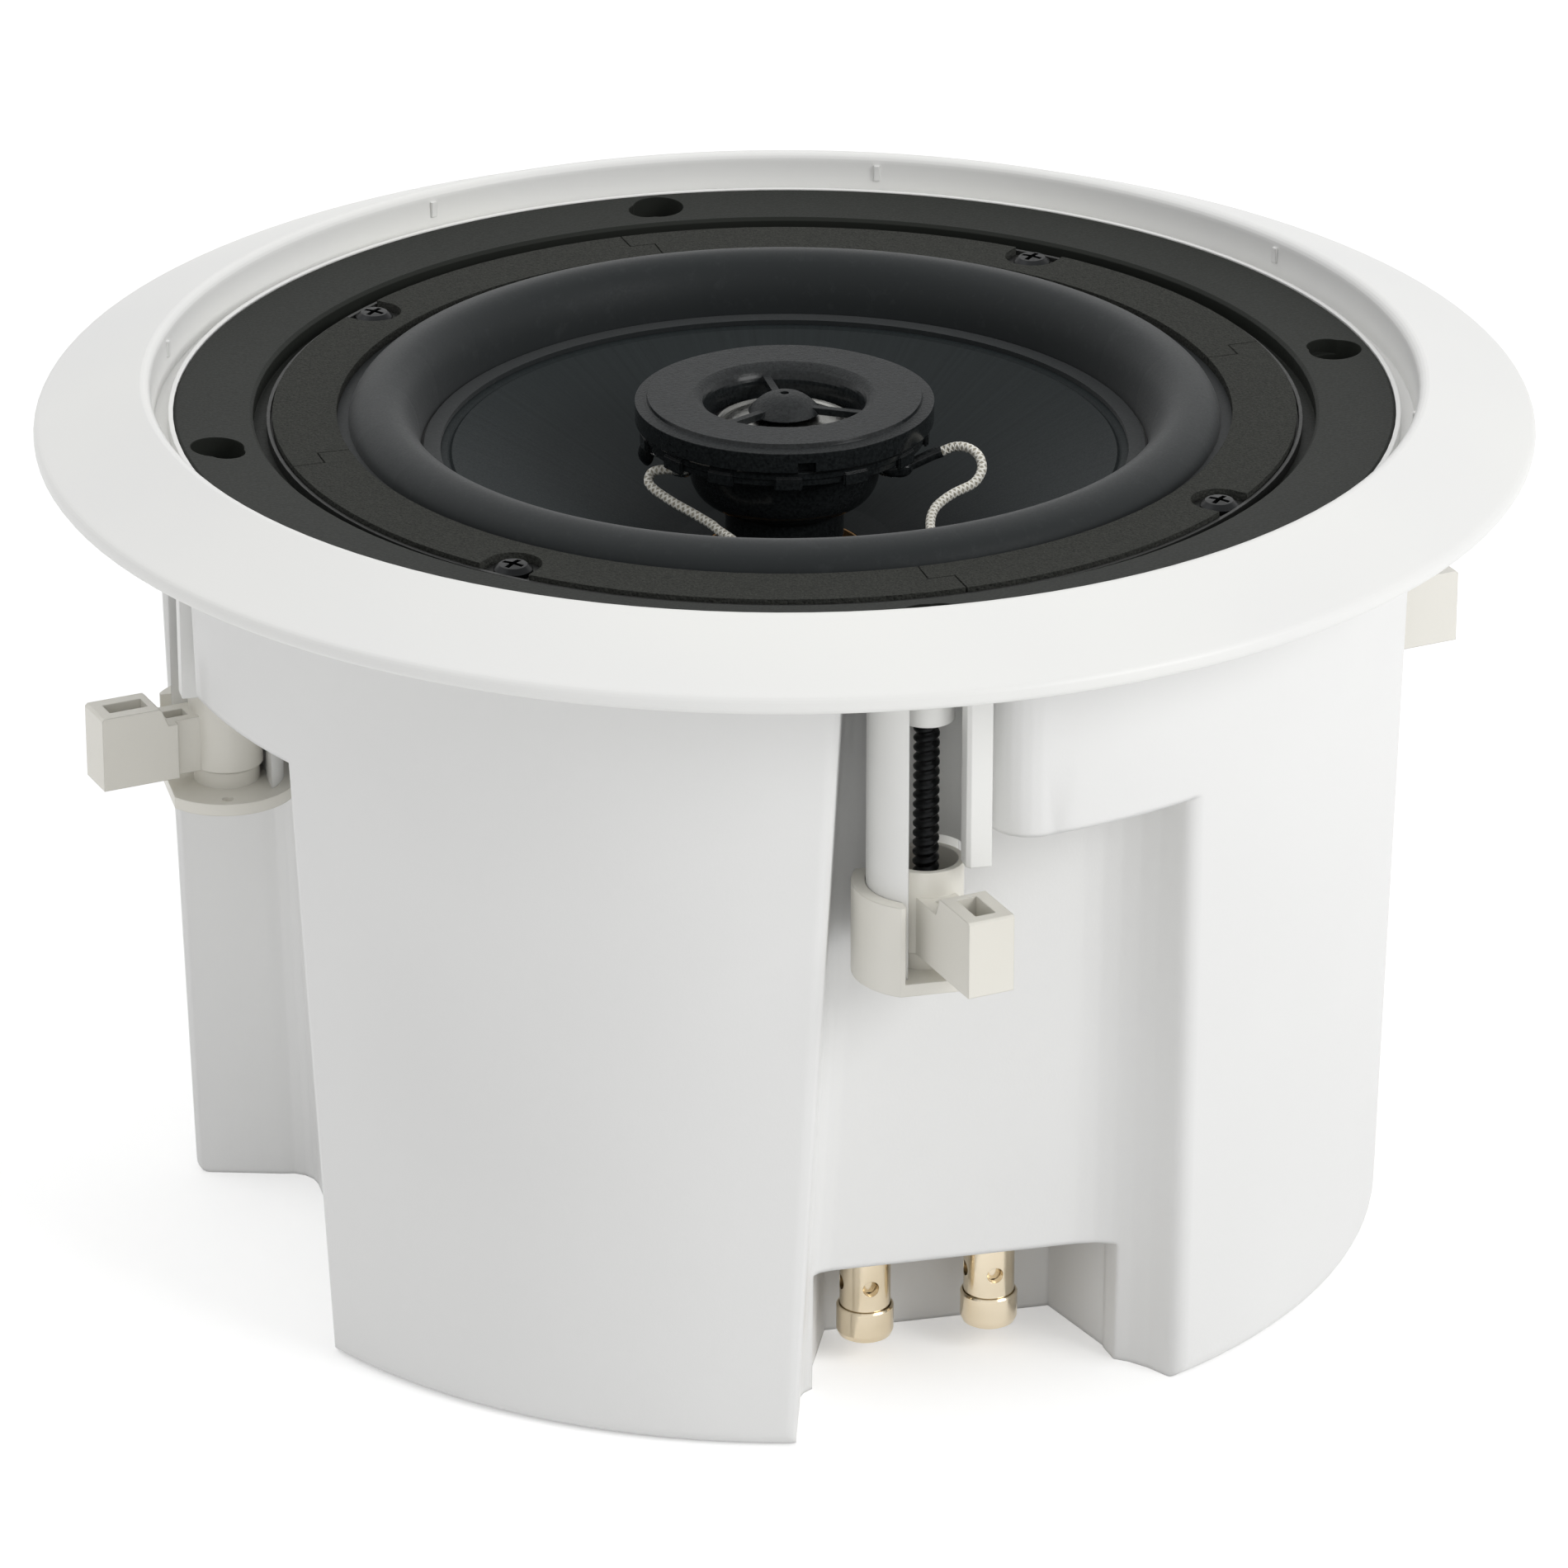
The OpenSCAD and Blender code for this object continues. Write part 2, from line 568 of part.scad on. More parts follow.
module voice_coil() {
  h = plate_t + 2 * cone_travel;
  color(copper) translate([0, 0, magnet_top + plate_t / 2 - h / 2 + 0.2]) tube(coil_r + 0.55, coil_r + 0.02, h);
}
// Corrugated centring disc
module spider() {
  waves = 6;
  steps = 48;
  r0 = coil_r + 0.02;
  r1 = 45.6;
  t = 0.4;
  function wave(i) = spider_z + 0.9 * sin(360 * waves * i / steps) * max(0, min(1, i / 6, (steps - 4 - i) / 6));
  color("goldenrod") rotate_extrude($fn = 96) polygon(concat(
    [for (i = [0:steps]) [mix(r0, r1, i / steps), wave(i)]],
    [for (i = [steps:-1:0]) [mix(r0, r1, i / steps), wave(i) + t]]));
}
module top_plate() {
  color(steel) translate([0, 0, magnet_top]) tube(magnet_d / 2 - 1.5, gap_r, plate_t);
}
module magnet() {
  color(ferrite) translate([0, 0, magnet_z]) tube(magnet_d / 2, gap_r + 6, magnet_t);
}
module pole_yoke() {
  color(steel) translate([0, 0, yoke_z]) rotate_extrude($fn = 96) polygon([
    [0, 0], [magnet_d / 2 - 3, 0], [magnet_d / 2 - 1.5, yoke_t - 1.5], [magnet_d / 2 - 1.5, yoke_t],
    [pole_r, yoke_t], [pole_r, plate_top + 0.8 - yoke_z], [0, plate_top + 0.8 - yoke_z]]);
}
module cross_screw(r, head, h_head, len) {
  difference() {
    union() {
      translate([0, 0, -len]) cylinder(r = r, h = len + eps, $fn = 32);
      rotate_extrude($fn = 48) polygon([[0, 0], [head, 0], [head, h_head * 0.45],
        [head * 0.72, h_head * 0.9], [0, h_head]]);
    }
    for (a = [0, 90]) rotate([0, 0, a]) translate([-head * 0.58, -head * 0.13, h_head * 0.35])
      cube([head * 1.16, head * 0.26, h_head]);
  }
}
module driver_screws() {
  color(black_oxide) for (i = turns) rotate([0, 0, 45 + 90 * i])
    translate([0, -driver_screw_pcd / 2, seat_z]) cross_screw(driver_screw_r, driver_head_r, 1.6, 6.5);
}

// Tweeter, held over the cone on the pole of the woofer
module tweeter_post() {
  color(satin_black) translate([0, 0, plate_top + 0.8])
    cylinder(r = post_r, h = post_top - plate_top - 0.8, $fn = 64);
}
module tweeter_housing() {
  cup_r = band_r - 2.1;
  color(satin_black) rotate_extrude($fn = 96) polygon(concat(
    [[0, post_top], [post_r + 0.6, post_top], [post_r + 0.6, taper_low], [post_r + 2, taper_low]],
    bend([post_r + 2.6, taper_low + 0.4], [cup_r - 0.7, taper_low + 1.6], [cup_r - 0.3, taper_low + 5], 8),
    [[cup_r, band_low - 0.6], [band_r - 0.8, band_low - 0.6], [band_r - 0.8, band_low],
     [band_r, band_low], [band_r, face_low], [band_r - housing_wall, face_low],
     [band_r - housing_wall, magnet_seat], [0, magnet_seat]]));
}
module tweeter_magnet() {
  top = dome_seat - dome_travel - 0.05;
  color(ferrite) translate([0, 0, magnet_seat]) difference() {
    cylinder(r = band_r - housing_wall - 0.6, h = top - magnet_seat, $fn = 64);
    translate([0, 0, dome_seat - voice_h - 2 * dome_travel - magnet_seat])
      tube(dome_r + free, dome_r - 0.25 - free, 20);
  }
}
// Dome with its roll and its short coil tube
module tweeter_dome() {
  t = 0.25;
  function dome(g) = [for (i = [0:10]) let (a = 90 * i / 10)
    [(dome_r - g) * cos(a), dome_seat + (dome_rise - g) * sin(a)]];
  function roll(g) = [for (i = [0:6]) let (a = 180 * i / 6)
    [dome_r + dome_roll / 2 + (dome_roll / 2 - g) * cos(a), dome_seat + (0.8 - g) * sin(a)]];
  color(braid) rotate_extrude($fn = 72) polygon(concat(
    [[dome_r - t, dome_seat - voice_h], [dome_r, dome_seat - voice_h], [dome_r, dome_seat]],
    [for (i = [6:-1:0]) roll(t)[i]], [for (i = [0:5]) roll(0)[i]],
    [[dome_r + 0.1, dome_seat + t], [dome_r, dome_seat + t]],
    [for (i = [1:10]) dome(0)[i]], [for (i = [10:-1:1]) dome(t)[i]]));
}
module tweeter_horn() {
  chamfer = 0.9;
  plug_low = dome_seat + dome_rise + dome_travel + 0.2;
  plug_h = face_z + 0.2 - plug_low;
  spigot = band_r - housing_wall - 0.1;
  flare = bend([throat_r, face_z - 2.9], [throat_r + 0.4, face_z - 0.6], [mouth_r, face_z], 8);
  color(satin_black) difference() {
    union() {
      rotate_extrude($fn = 96) polygon(concat(
        [[spigot, dome_seat + 0.2], [spigot, face_low], [face_r - 0.5, face_low], [face_r, face_low + 0.5],
         [face_r, face_z - chamfer], [face_r - chamfer, face_z - 0.7], [face_r - 1.8, face_z - 0.6],
         [face_r - 2, face_z]],
        [for (i = [8:-1:0]) flare[i]], [[throat_r, dome_seat + 0.2]]));
      // Phase plug and its three arms
      translate([0, 0, plug_low]) rotate_extrude($fn = 64) polygon(concat([[0, 0]],
        bend([plug_r, 0], [plug_r * 0.62, plug_h * 0.96], [plug_r * 0.2, plug_h], 8), [[0, plug_h]]));
      for (a = [60, 180, 300]) rotate([0, 0, a]) translate([-0.6, -throat_r - 0.4, plug_low])
        cube([1.2, throat_r - plug_r + 1.6, 1.1]);
    }
    translate([0, 0, face_z - 3]) cylinder(r = 0.7, h = 5, $fn = 24);
    rotate([0, 0, -5]) translate([-1.4, -face_r - 1, face_low - 1]) cube([2.8, 3, 3]);
  }
}
// A lead is a tube swept along its route
module lead(path) {
  n = len(path);
  sides = 8;
  r = lead_d / 2;
  function along(i) = let (d = path[min(i + 1, n - 1)] - path[max(i - 1, 0)]) d / norm(d);
  function across(i) = let (c = cross(along(i), [0.3, 0.2, 1])) c / norm(c);
  pts = [for (i = [0:n - 1]) for (k = [0:sides - 1]) let (u = across(i), v = cross(along(i), u),
    a = 360 * k / sides) path[i] + r * (cos(a) * u + sin(a) * v)];
  skin_faces = [for (i = [0:n - 2]) for (k = [0:sides - 1]) for (f = [
    [i * sides + k, i * sides + (k + 1) % sides, (i + 1) * sides + k],
    [(i + 1) * sides + k, i * sides + (k + 1) % sides, (i + 1) * sides + (k + 1) % sides]]) f];
  translate([0, 0, can_h]) polyhedron(points = pts, faces = concat([[for (k = [sides - 1:-1:0]) k]],
    skin_faces, [[for (k = [0:sides - 1]) (n - 1) * sides + k]]));
}
module tweeter_lead_left() { color(braid) lead(lead_left_path); }
module tweeter_lead_right() { color(braid) lead(lead_right_path); }

// Clamps
module clamp_screw(i) {
  color(black_oxide) at_clamp(i) translate([0, 0, head_seat])
    cross_screw(screw_r, head_r, head_h, head_seat - screw_tip);
}
module clamp_dog(i) {
  top = hub_top - arm_drop;
  inner_top = top - step_drop;
  half = arm_w / 2;
  color(ivory) at_clamp(i) difference() {
    union() {
      translate([0, 0, hub_z]) cylinder(r = hub_r, h = hub_h, $fn = 64);
      rotate([0, 0, arm_angle]) {
        translate([-half, -block_start - eps, hub_z])
          cube([half + neck_right, block_start + eps, inner_top - hub_z]);
        // Side view of the outer block, with its sloped inner end
        translate([-half, 0, 0]) rotate([90, 0, 90]) linear_extrude(arm_w) polygon([
          [-arm_len, hub_z], [-block_start, hub_z], [-block_start, inner_top], [-step_at, inner_top],
          [-step_at - 1, top - 0.4], [-step_at - 1.4, top], [-arm_len + 0.4, top], [-arm_len, top - 0.4]]);
      }
    }
    translate([0, 0, hub_z - eps]) cylinder(r = screw_r + fit, h = hub_h + 1, $fn = 48);
    translate([0, 0, hub_top - hub_bore_depth]) cylinder(r = hub_bore_r, h = hub_bore_depth + 1, $fn = 64);
    rotate([0, 0, arm_angle]) {
      translate([-half + 2.1, -arm_len + 2.1, top - 7])
        cube([arm_w - 4.2, arm_len - step_at - 4.6, 8]);
      translate([-half + 2, -step_at + 0.8, inner_top - 3])
        cube([half + neck_right - 3.6, step_at - hub_r - 1.6, 4]);
    }
  }
}
module clamp_foot(i) {
  color(ivory) at_clamp(i) difference() {
    union() {
      translate([0, 0, foot_z]) cylinder(r = foot_r_out, h = foot_plate_t, $fn = 96);
      translate([0, 0, foot_top - eps]) cylinder(r = spigot_r, h = spigot_h + eps, $fn = 64);
      translate([0, 0, foot_top - eps]) difference() {
        cylinder(r = foot_r_out, h = foot_wall_h, $fn = 96);
        translate([0, 0, -1]) cylinder(r = foot_wall_in, h = foot_wall_h + 2, $fn = 96);
        translate([-slot_left - 0.8, -20, -1]) cube([40, 40, foot_wall_h + 2]);
        translate([-20, guide_in, -1]) cube([40, 20, foot_wall_h + 2]);
      }
    }
    // Flat front, with the corner taken off on the left
    translate([-20, -20 - guide_front - 1.4, foot_z - 1]) cube([40, 20, 30]);
    translate([-slot_left - 3.4, -guide_front - 1.4, foot_z - 1]) rotate([0, 0, 30])
      translate([-20, -10, 0]) cube([20, 10, 30]);
    translate([0, 0, foot_z - 1]) cylinder(r = screw_r + fit, h = 30, $fn = 48);
    translate([foot_r_out - 2.2, -1.4, foot_z - 1]) cylinder(r = 0.9, h = 10, $fn = 24);
  }
}

// Crossover on the floor of the can
module crossover_board() {
  color("darkgreen") translate([0, board_y, board_z]) difference() {
    translate([-board_l / 2, -board_w / 2, 0]) cube([board_l, board_w, board_t]);
    for (x = [-1, 1]) for (y = [-1, 1]) translate([x * (board_l / 2 - 4), y * (board_w / 2 - 4), -1])
      cylinder(r = 1.6, h = 5, $fn = 24);
  }
}
module crossover_capacitor() {
  r = 7;
  color("khaki") translate([-14, board_y - 13, board_z + board_t + r]) rotate([-90, 0, 0])
    rotate_extrude($fn = 48) polygon([[0, 0], [r - 0.8, 0], [r, 0.8], [r, 25.2], [r - 0.8, 26], [0, 26]]);
}
module crossover_coil() {
  color(copper) translate([13, board_y, board_z + board_t]) {
    tube(12, 5, 1.4);
    translate([0, 0, 1.4 - eps]) tube(10.6, 5, 8);
    translate([0, 0, 9.4 - 2 * eps]) tube(12, 5, 1.4);
  }
}
module crossover_screws() {
  color(steel) for (x = [-1, 1]) for (y = [-1, 1])
    translate([x * (board_l / 2 - 4), board_y + y * (board_w / 2 - 4), board_z + board_t])
      cross_screw(1.2, 2.6, 1.6, 6);
}

// Push terminals, hanging from the roof of the pocket
module at_terminal(side) {
  translate([terminal_mid + side * terminal_pitch / 2, terminal_y, 0]) children();
}
module wire_holes(z) {
  for (a = [0, 90]) translate([0, 0, z]) rotate([90, 0, a])
    cylinder(d = wire_hole_d, h = 4 * terminal_r, center = true, $fn = 32);
}
module terminal_post(side) {
  color(pale_gold) at_terminal(side) difference() {
    union() {
      translate([0, 0, barrel_z]) cylinder(r = terminal_r, h = pocket_roof - barrel_z, $fn = 64);
      translate([0, 0, pocket_roof - eps]) cylinder(r = stud_r, h = can_wall + 7, $fn = 32);
    }
    translate([0, 0, barrel_z - 1]) cylinder(r = plunger_r + fit, h = spring_top - barrel_z + 1, $fn = 64);
    wire_holes(hole_z);
  }
}
module terminal_cap(side) {
  inside = terminal_r + 0.1;
  color(pale_gold) at_terminal(side) difference() {
    union() {
      translate([0, 0, cap_z]) rotate_extrude($fn = 64) polygon([
        [0, 0], [cap_r - 1.1, 0], [cap_r - 0.3, 0.5], [cap_r, 1.3], [cap_r, cap_h - 0.3],
        [cap_r - 0.2, cap_h], [inside, cap_h], [inside, cap_floor], [0, cap_floor]]);
      translate([0, 0, cap_z + cap_floor - eps])
        cylinder(r = plunger_r, h = plunger_top - cap_z - cap_floor + eps, $fn = 64);
    }
    wire_holes(hole_z - cap_travel);
  }
}
module terminal_spring(side) {
  color(steel) at_terminal(side) translate([0, 0, plunger_top]) tube(plunger_r - 0.4, plunger_r - 1, spring_top - plunger_top);
}
module terminal_nuts() {
  color(pale_gold) for (side = [-1, 1]) at_terminal(side) translate([0, 0, pocket_roof + can_wall])
    difference() {
      cylinder(r = 4, h = 2.8, $fn = 6);
      translate([0, 0, -1]) cylinder(r = stud_r + 0.05, h = 6, $fn = 32);
    }
}

bezel_frame();
back_can();
baffle_ring();
gasket(front);  // gasket_front
gasket(right);  // gasket_right
gasket(back);  // gasket_back
gasket(left);  // gasket_left
driver_basket();
surround();
cone();
coil_former();
voice_coil();
spider();
top_plate();
magnet();
pole_yoke();
driver_screws();
tweeter_post();
tweeter_housing();
tweeter_magnet();
tweeter_dome();
tweeter_horn();
tweeter_lead_left();
tweeter_lead_right();
clamp_screw(front);  // clamp_screw_front
clamp_screw(right);  // clamp_screw_right
clamp_screw(back);  // clamp_screw_back
clamp_screw(left);  // clamp_screw_left
clamp_dog(front);  // clamp_dog_front
clamp_dog(right);  // clamp_dog_right
clamp_dog(back);  // clamp_dog_back
clamp_dog(left);  // clamp_dog_left
clamp_foot(front);  // clamp_foot_front
clamp_foot(right);  // clamp_foot_right
clamp_foot(back);  // clamp_foot_back
clamp_foot(left);  // clamp_foot_left
crossover_board();
crossover_capacitor();
crossover_coil();
crossover_screws();
terminal_post(-1);  // terminal_post_left
terminal_post(1);  // terminal_post_right
terminal_cap(-1);  // terminal_cap_left
terminal_cap(1);  // terminal_cap_right
terminal_spring(-1);  // terminal_spring_left
terminal_spring(1);  // terminal_spring_right
terminal_nuts();
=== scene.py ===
import math

import bmesh
import bpy
from mathutils import Matrix, Vector


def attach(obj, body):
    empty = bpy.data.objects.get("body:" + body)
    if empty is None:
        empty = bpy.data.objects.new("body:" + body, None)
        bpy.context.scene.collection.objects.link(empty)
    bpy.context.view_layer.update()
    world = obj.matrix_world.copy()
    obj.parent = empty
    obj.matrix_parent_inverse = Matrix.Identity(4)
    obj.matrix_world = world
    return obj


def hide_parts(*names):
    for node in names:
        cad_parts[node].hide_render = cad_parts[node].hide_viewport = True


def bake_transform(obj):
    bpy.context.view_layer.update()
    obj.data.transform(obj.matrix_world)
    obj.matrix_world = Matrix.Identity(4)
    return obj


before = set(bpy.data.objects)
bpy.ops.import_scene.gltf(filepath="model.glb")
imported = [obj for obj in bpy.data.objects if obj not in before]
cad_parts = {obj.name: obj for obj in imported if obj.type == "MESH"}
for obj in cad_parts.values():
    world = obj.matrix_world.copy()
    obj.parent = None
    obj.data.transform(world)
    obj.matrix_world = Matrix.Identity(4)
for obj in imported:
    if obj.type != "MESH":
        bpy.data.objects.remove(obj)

bl_info = {
    "name": "Ceiling speaker dressing",
    "version": (1, 0, 0),
    "blender": (4, 5, 0),
    "location": "3D View > Sidebar > Speaker",
    "description": "Dresses the ceiling speaker's solids with their finishes and fine parts",
    "category": "Object",
}

MM = 0.001
SIDES = {"front": 0, "right": 90, "back": 180, "left": 270}
AT_CLAMP = {
    side: Matrix.Rotation(math.radians(turn), 4, "Z") @ Matrix.Translation((0, -90.5 * MM, 0))
    for side, turn in SIDES.items()
}


# Sizes and colours that a user would change


class SpeakerSizes(bpy.types.PropertyGroup):
    """Sizes of the fine parts, in millimetres"""

    thread_pitch: bpy.props.FloatProperty(
        name="Thread pitch",
        description="Pitch of the clamp screws' coarse thread, mm",
        default=1.55,
        min=0.8,
        max=2.5,
    )
    thread_depth: bpy.props.FloatProperty(
        name="Thread depth", description="Depth of the clamp screws' thread, mm", default=0.55, min=0.1, max=0.8
    )
    lead_width: bpy.props.FloatProperty(
        name="Lead width", description="Diameter of the braided tweeter leads, mm", default=1.5, min=0.8, max=2.5
    )
    roll_out: bpy.props.FloatProperty(
        name="Roll outside",
        description="Radius of the surround's roll at the gasket, mm",
        default=68.7,
        min=60,
        max=75,
    )
    roll_in: bpy.props.FloatProperty(
        name="Roll inside", description="Radius of the surround's roll at the cone, mm", default=57.5, min=50, max=62
    )
    edge_round: bpy.props.FloatProperty(
        name="Edge round", description="How softly moulded edges catch the light, mm", default=0.35, min=0.05, max=1
    )


class SpeakerColours(bpy.types.PropertyGroup):
    """Colours of the finishes, as web colours"""

    white: bpy.props.StringProperty(name="White", description="White moulded plastic", default="#e9e9e8")
    ivory: bpy.props.StringProperty(name="Ivory", description="Clamps' ivory nylon", default="#ebe9e2")
    black: bpy.props.StringProperty(name="Black", description="Satin black plastic of the baffle", default="#282a27")
    gasket: bpy.props.StringProperty(name="Gasket", description="Grainy gasket paper", default="#4a4b47")
    rubber: bpy.props.StringProperty(name="Rubber", description="Surround rubber", default="#26292a")
    cone: bpy.props.StringProperty(name="Cone", description="Moulded polypropylene", default="#1d2122")
    gold: bpy.props.StringProperty(name="Gold", description="Terminals' thin plating", default="#e9dcc4")
    braid: bpy.props.StringProperty(name="Braid", description="Braided sleeve of the leads", default="#f3f1e8")


def sizes():
    return bpy.context.scene.speaker_sizes


def colours():
    return bpy.context.scene.speaker_colours


# Finishes


def colour(code):
    """A web colour as the linear values that a shader takes."""
    parts = [int(code[i : i + 2], 16) / 255 for i in (1, 3, 5)]
    return (*[c / 12.92 if c <= 0.04045 else ((c + 0.055) / 1.055) ** 2.4 for c in parts], 1.0)


def add(tree, kind, inputs=(), **settings):
    """One node of a material; an input is a plain value or another node's socket."""
    made = tree.nodes.new("ShaderNode" + kind)
    for name, value in settings.items():
        setattr(made, name, value)
    for key, value in dict(inputs).items():
        if isinstance(value, bpy.types.NodeSocket):
            tree.links.new(value, made.inputs[key])
        else:
            made.inputs[key].default_value = value
    return made


def math_node(tree, operation, a, b=0.0):
    return add(tree, "Math", {0: a, 1: b}, operation=operation).outputs[0]


def blank(name):
    """A new material with nothing in it, and its object coordinates."""
    material = bpy.data.materials.new(name)
    material.use_nodes = True
    material.node_tree.nodes.clear()
    tree = material.node_tree
    return material, tree, add(tree, "TexCoord").outputs["Object"]


def noise(tree, coords, scale, detail=3.0, rough=0.55, distortion=0.0):
    return add(
        tree,
        "TexNoise",
        {"Vector": coords, "Scale": scale, "Detail": detail, "Roughness": rough, "Distortion": distortion},
    ).outputs[0]


def spread(tree, value, low, high, from_low=0.3, from_high=0.7):
    return add(
        tree,
        "MapRange",
        {"Value": value, "From Min": from_low, "From Max": from_high, "To Min": low, "To Max": high},
    ).outputs[0]


def between(tree, factor, first, second):
    """Two colours mixed by a pattern."""
    return add(tree, "Mix", {0: factor, 6: first, 7: second}, data_type="RGBA").outputs[2]


def bumped(tree, height, depth, strength=1.0, round_mm=0.0):
    """A normal raised by a pattern, over edges that are softened like a moulding's."""
    inputs = {"Height": height, "Distance": depth, "Strength": strength}
    if round_mm:
        inputs["Normal"] = add(tree, "Bevel", {"Radius": round_mm * MM}, samples=6).outputs[0]
    return add(tree, "Bump", inputs).outputs[0]


def close(tree, inputs):
    shader = add(tree, "BsdfPrincipled", inputs)
    add(tree, "OutputMaterial", {"Surface": shader.outputs[0]})


def moulded(name, base, shade, rough, grain, depth, round_mm, shine=0.5):
    """Injection-moulded plastic: spark-eroded grain, a slow change of tone and soft edges."""
    material, tree, coords = blank(name)
    fine = noise(tree, coords, grain, 4.0, 0.6)
    slow = noise(tree, coords, 14.0, 2.0, 0.5)
    height = math_node(tree, "ADD", fine, math_node(tree, "MULTIPLY", slow, 0.2))
    close(
        tree,
        {
            "Base Color": between(tree, spread(tree, slow, 0, 1), colour(base), colour(shade)),
            "Roughness": spread(tree, fine, rough - 0.05, rough + 0.06),
            "Specular IOR Level": shine,
            "Normal": bumped(tree, height, depth, 0.6, round_mm),
        },
    )
    return material


def metal(name, base, shade, rough, grain, depth, round_mm=0.0, metallic=1.0):
    """Plated or coated metal with a fine uneven skin."""
    material, tree, coords = blank(name)
    skin = noise(tree, coords, grain, 4.0, 0.65)
    blotch = noise(tree, coords, grain * 0.08, 2.0, 0.5)
    close(
        tree,
        {
            "Base Color": between(tree, spread(tree, blotch, 0, 1), colour(base), colour(shade)),
            "Roughness": spread(tree, skin, rough - 0.07, rough + 0.09),
            "Metallic": metallic,
            "Normal": bumped(tree, skin, depth, 0.5, round_mm),
        },
    )
    return material


def gasket_paper():
    """Die-cut grainy gasket board, so the ring looks dull and speckled."""
    material, tree, coords = blank("gasket board, die-cut and grainy")
    grains = add(tree, "TexVoronoi", {"Vector": coords, "Scale": 1900.0}).outputs["Distance"]
    fibre = noise(tree, coords, 3200.0, 5.0, 0.7)
    height = math_node(tree, "SUBTRACT", fibre, grains)
    close(
        tree,
        {
            "Base Color": between(tree, spread(tree, fibre, 0, 1), colour("#262725"), colour(colours().gasket)),
            "Roughness": spread(tree, fibre, 0.78, 0.95),
            "Specular IOR Level": 0.1,
            "Normal": bumped(tree, height, 0.0003, 0.9, 0.15),
        },
    )
    return material


def pressed_rubber():
    """Pressed rubber of the surround: a soft sheen, with faint dust in its pores."""
    material, tree, coords = blank("surround rubber, hot-pressed")
    pores = noise(tree, coords, 2600.0, 4.0, 0.6)
    dusty = spread(tree, noise(tree, coords, 420.0, 6.0, 0.7), 0, 0.35, 0.55, 0.8)
    close(
        tree,
        {
            "Base Color": between(tree, dusty, colour(colours().rubber), colour("#3d4041")),
            "Roughness": spread(tree, pores, 0.42, 0.56),
            "Specular IOR Level": 0.1,
            "Sheen Weight": 0.12,
            "Sheen Roughness": 0.5,
            "Normal": bumped(tree, pores, 0.00002, 0.5),
        },
    )
    return material


def moulded_cone():
    """Talc-filled polypropylene with faint flow lines from the middle to the edge."""
    material, tree, coords = blank("cone polypropylene, moulded with flow lines")
    place = add(tree, "SeparateXYZ", {0: coords})
    turn = math_node(tree, "ARCTAN2", place.outputs[1], place.outputs[0])
    streaks = noise(tree, add(tree, "CombineXYZ", {0: turn, 1: 0.0, 2: 0.0}).outputs[0], 38.0, 6.0, 0.7)
    fine = noise(tree, coords, 3000.0, 4.0, 0.6)
    close(
        tree,
        {
            "Base Color": between(tree, spread(tree, streaks, 0, 1), colour(colours().cone), colour("#252a2b")),
            "Roughness": spread(tree, fine, 0.38, 0.52),
            "Specular IOR Level": 0.07,
            "Normal": bumped(tree, fine, 0.000025, 0.5),
        },
    )
    return material


def tweeter_plastic():
    """Black ABS: fine spark texture on the face, polished on the side of the ring."""
    material, tree, coords = blank("tweeter plastic, textured face and polished side")
    up = add(tree, "SeparateXYZ", {0: add(tree, "TexCoord").outputs["Normal"]}).outputs[2]
    face = spread(tree, up, 0.0, 1.0, 0.5, 0.8)
    grain = noise(tree, coords, 1900.0, 4.0, 0.65)
    close(
        tree,
        {
            "Base Color": between(tree, spread(tree, grain, 0, 1), colour("#101213"), colour("#282b2c")),
            "Roughness": spread(tree, face, 0.16, 0.5, 0.0, 1.0),
            "Specular IOR Level": 0.2,
            "Normal": bumped(tree, math_node(tree, "MULTIPLY", grain, face), 0.0003, 0.9, 0.2),
        },
    )
    return material


def braided_sleeve():
    """Braided sleeve: two sets of strands that cross over and under along the lead."""
    material, tree, coords = blank("lead sleeve, braided cotton")
    uv = add(tree, "SeparateXYZ", {0: add(tree, "TexCoord").outputs["UV"]})
    around = math_node(tree, "MULTIPLY", uv.outputs[0], 3 * math.tau)
    along = math_node(tree, "MULTIPLY", uv.outputs[1], 1.1 * math.tau)
    one = math_node(tree, "SINE", math_node(tree, "ADD", around, along))
    other = math_node(tree, "SINE", math_node(tree, "SUBTRACT", around, along))
    weave = math_node(tree, "MAXIMUM", one, other)
    strands = spread(tree, weave, 0, 1, -0.4, 0.8)
    fuzz = noise(tree, coords, 5200.0, 4.0, 0.7)
    height = math_node(tree, "ADD", weave, math_node(tree, "MULTIPLY", fuzz, 0.5))
    close(
        tree,
        {
            "Base Color": between(tree, strands, colour("#a8a291"), colour(colours().braid)),
            "Roughness": spread(tree, fuzz, 0.7, 0.9),
            "Sheen Weight": 0.2,
            "Normal": bumped(tree, height, 0.00012, 0.8),
        },
    )
    return material


def wound_wire():
    """Enamelled copper wire, seen as close turns."""
    material, tree, coords = blank("voice coil wire, enamelled copper")
    turns = add(
        tree, "TexWave", {"Vector": coords, "Scale": 620.0, "Distortion": 0.4}, wave_type="BANDS", bands_direction="Z"
    ).outputs[1]
    close(
        tree,
        {
            "Base Color": between(tree, turns, colour("#6b2f14"), colour("#c46a35")),
            "Roughness": spread(tree, turns, 0.32, 0.2, 0.0, 1.0),
            "Metallic": 1.0,
            "Normal": bumped(tree, turns, 0.0001, 0.9),
        },
    )
    return material


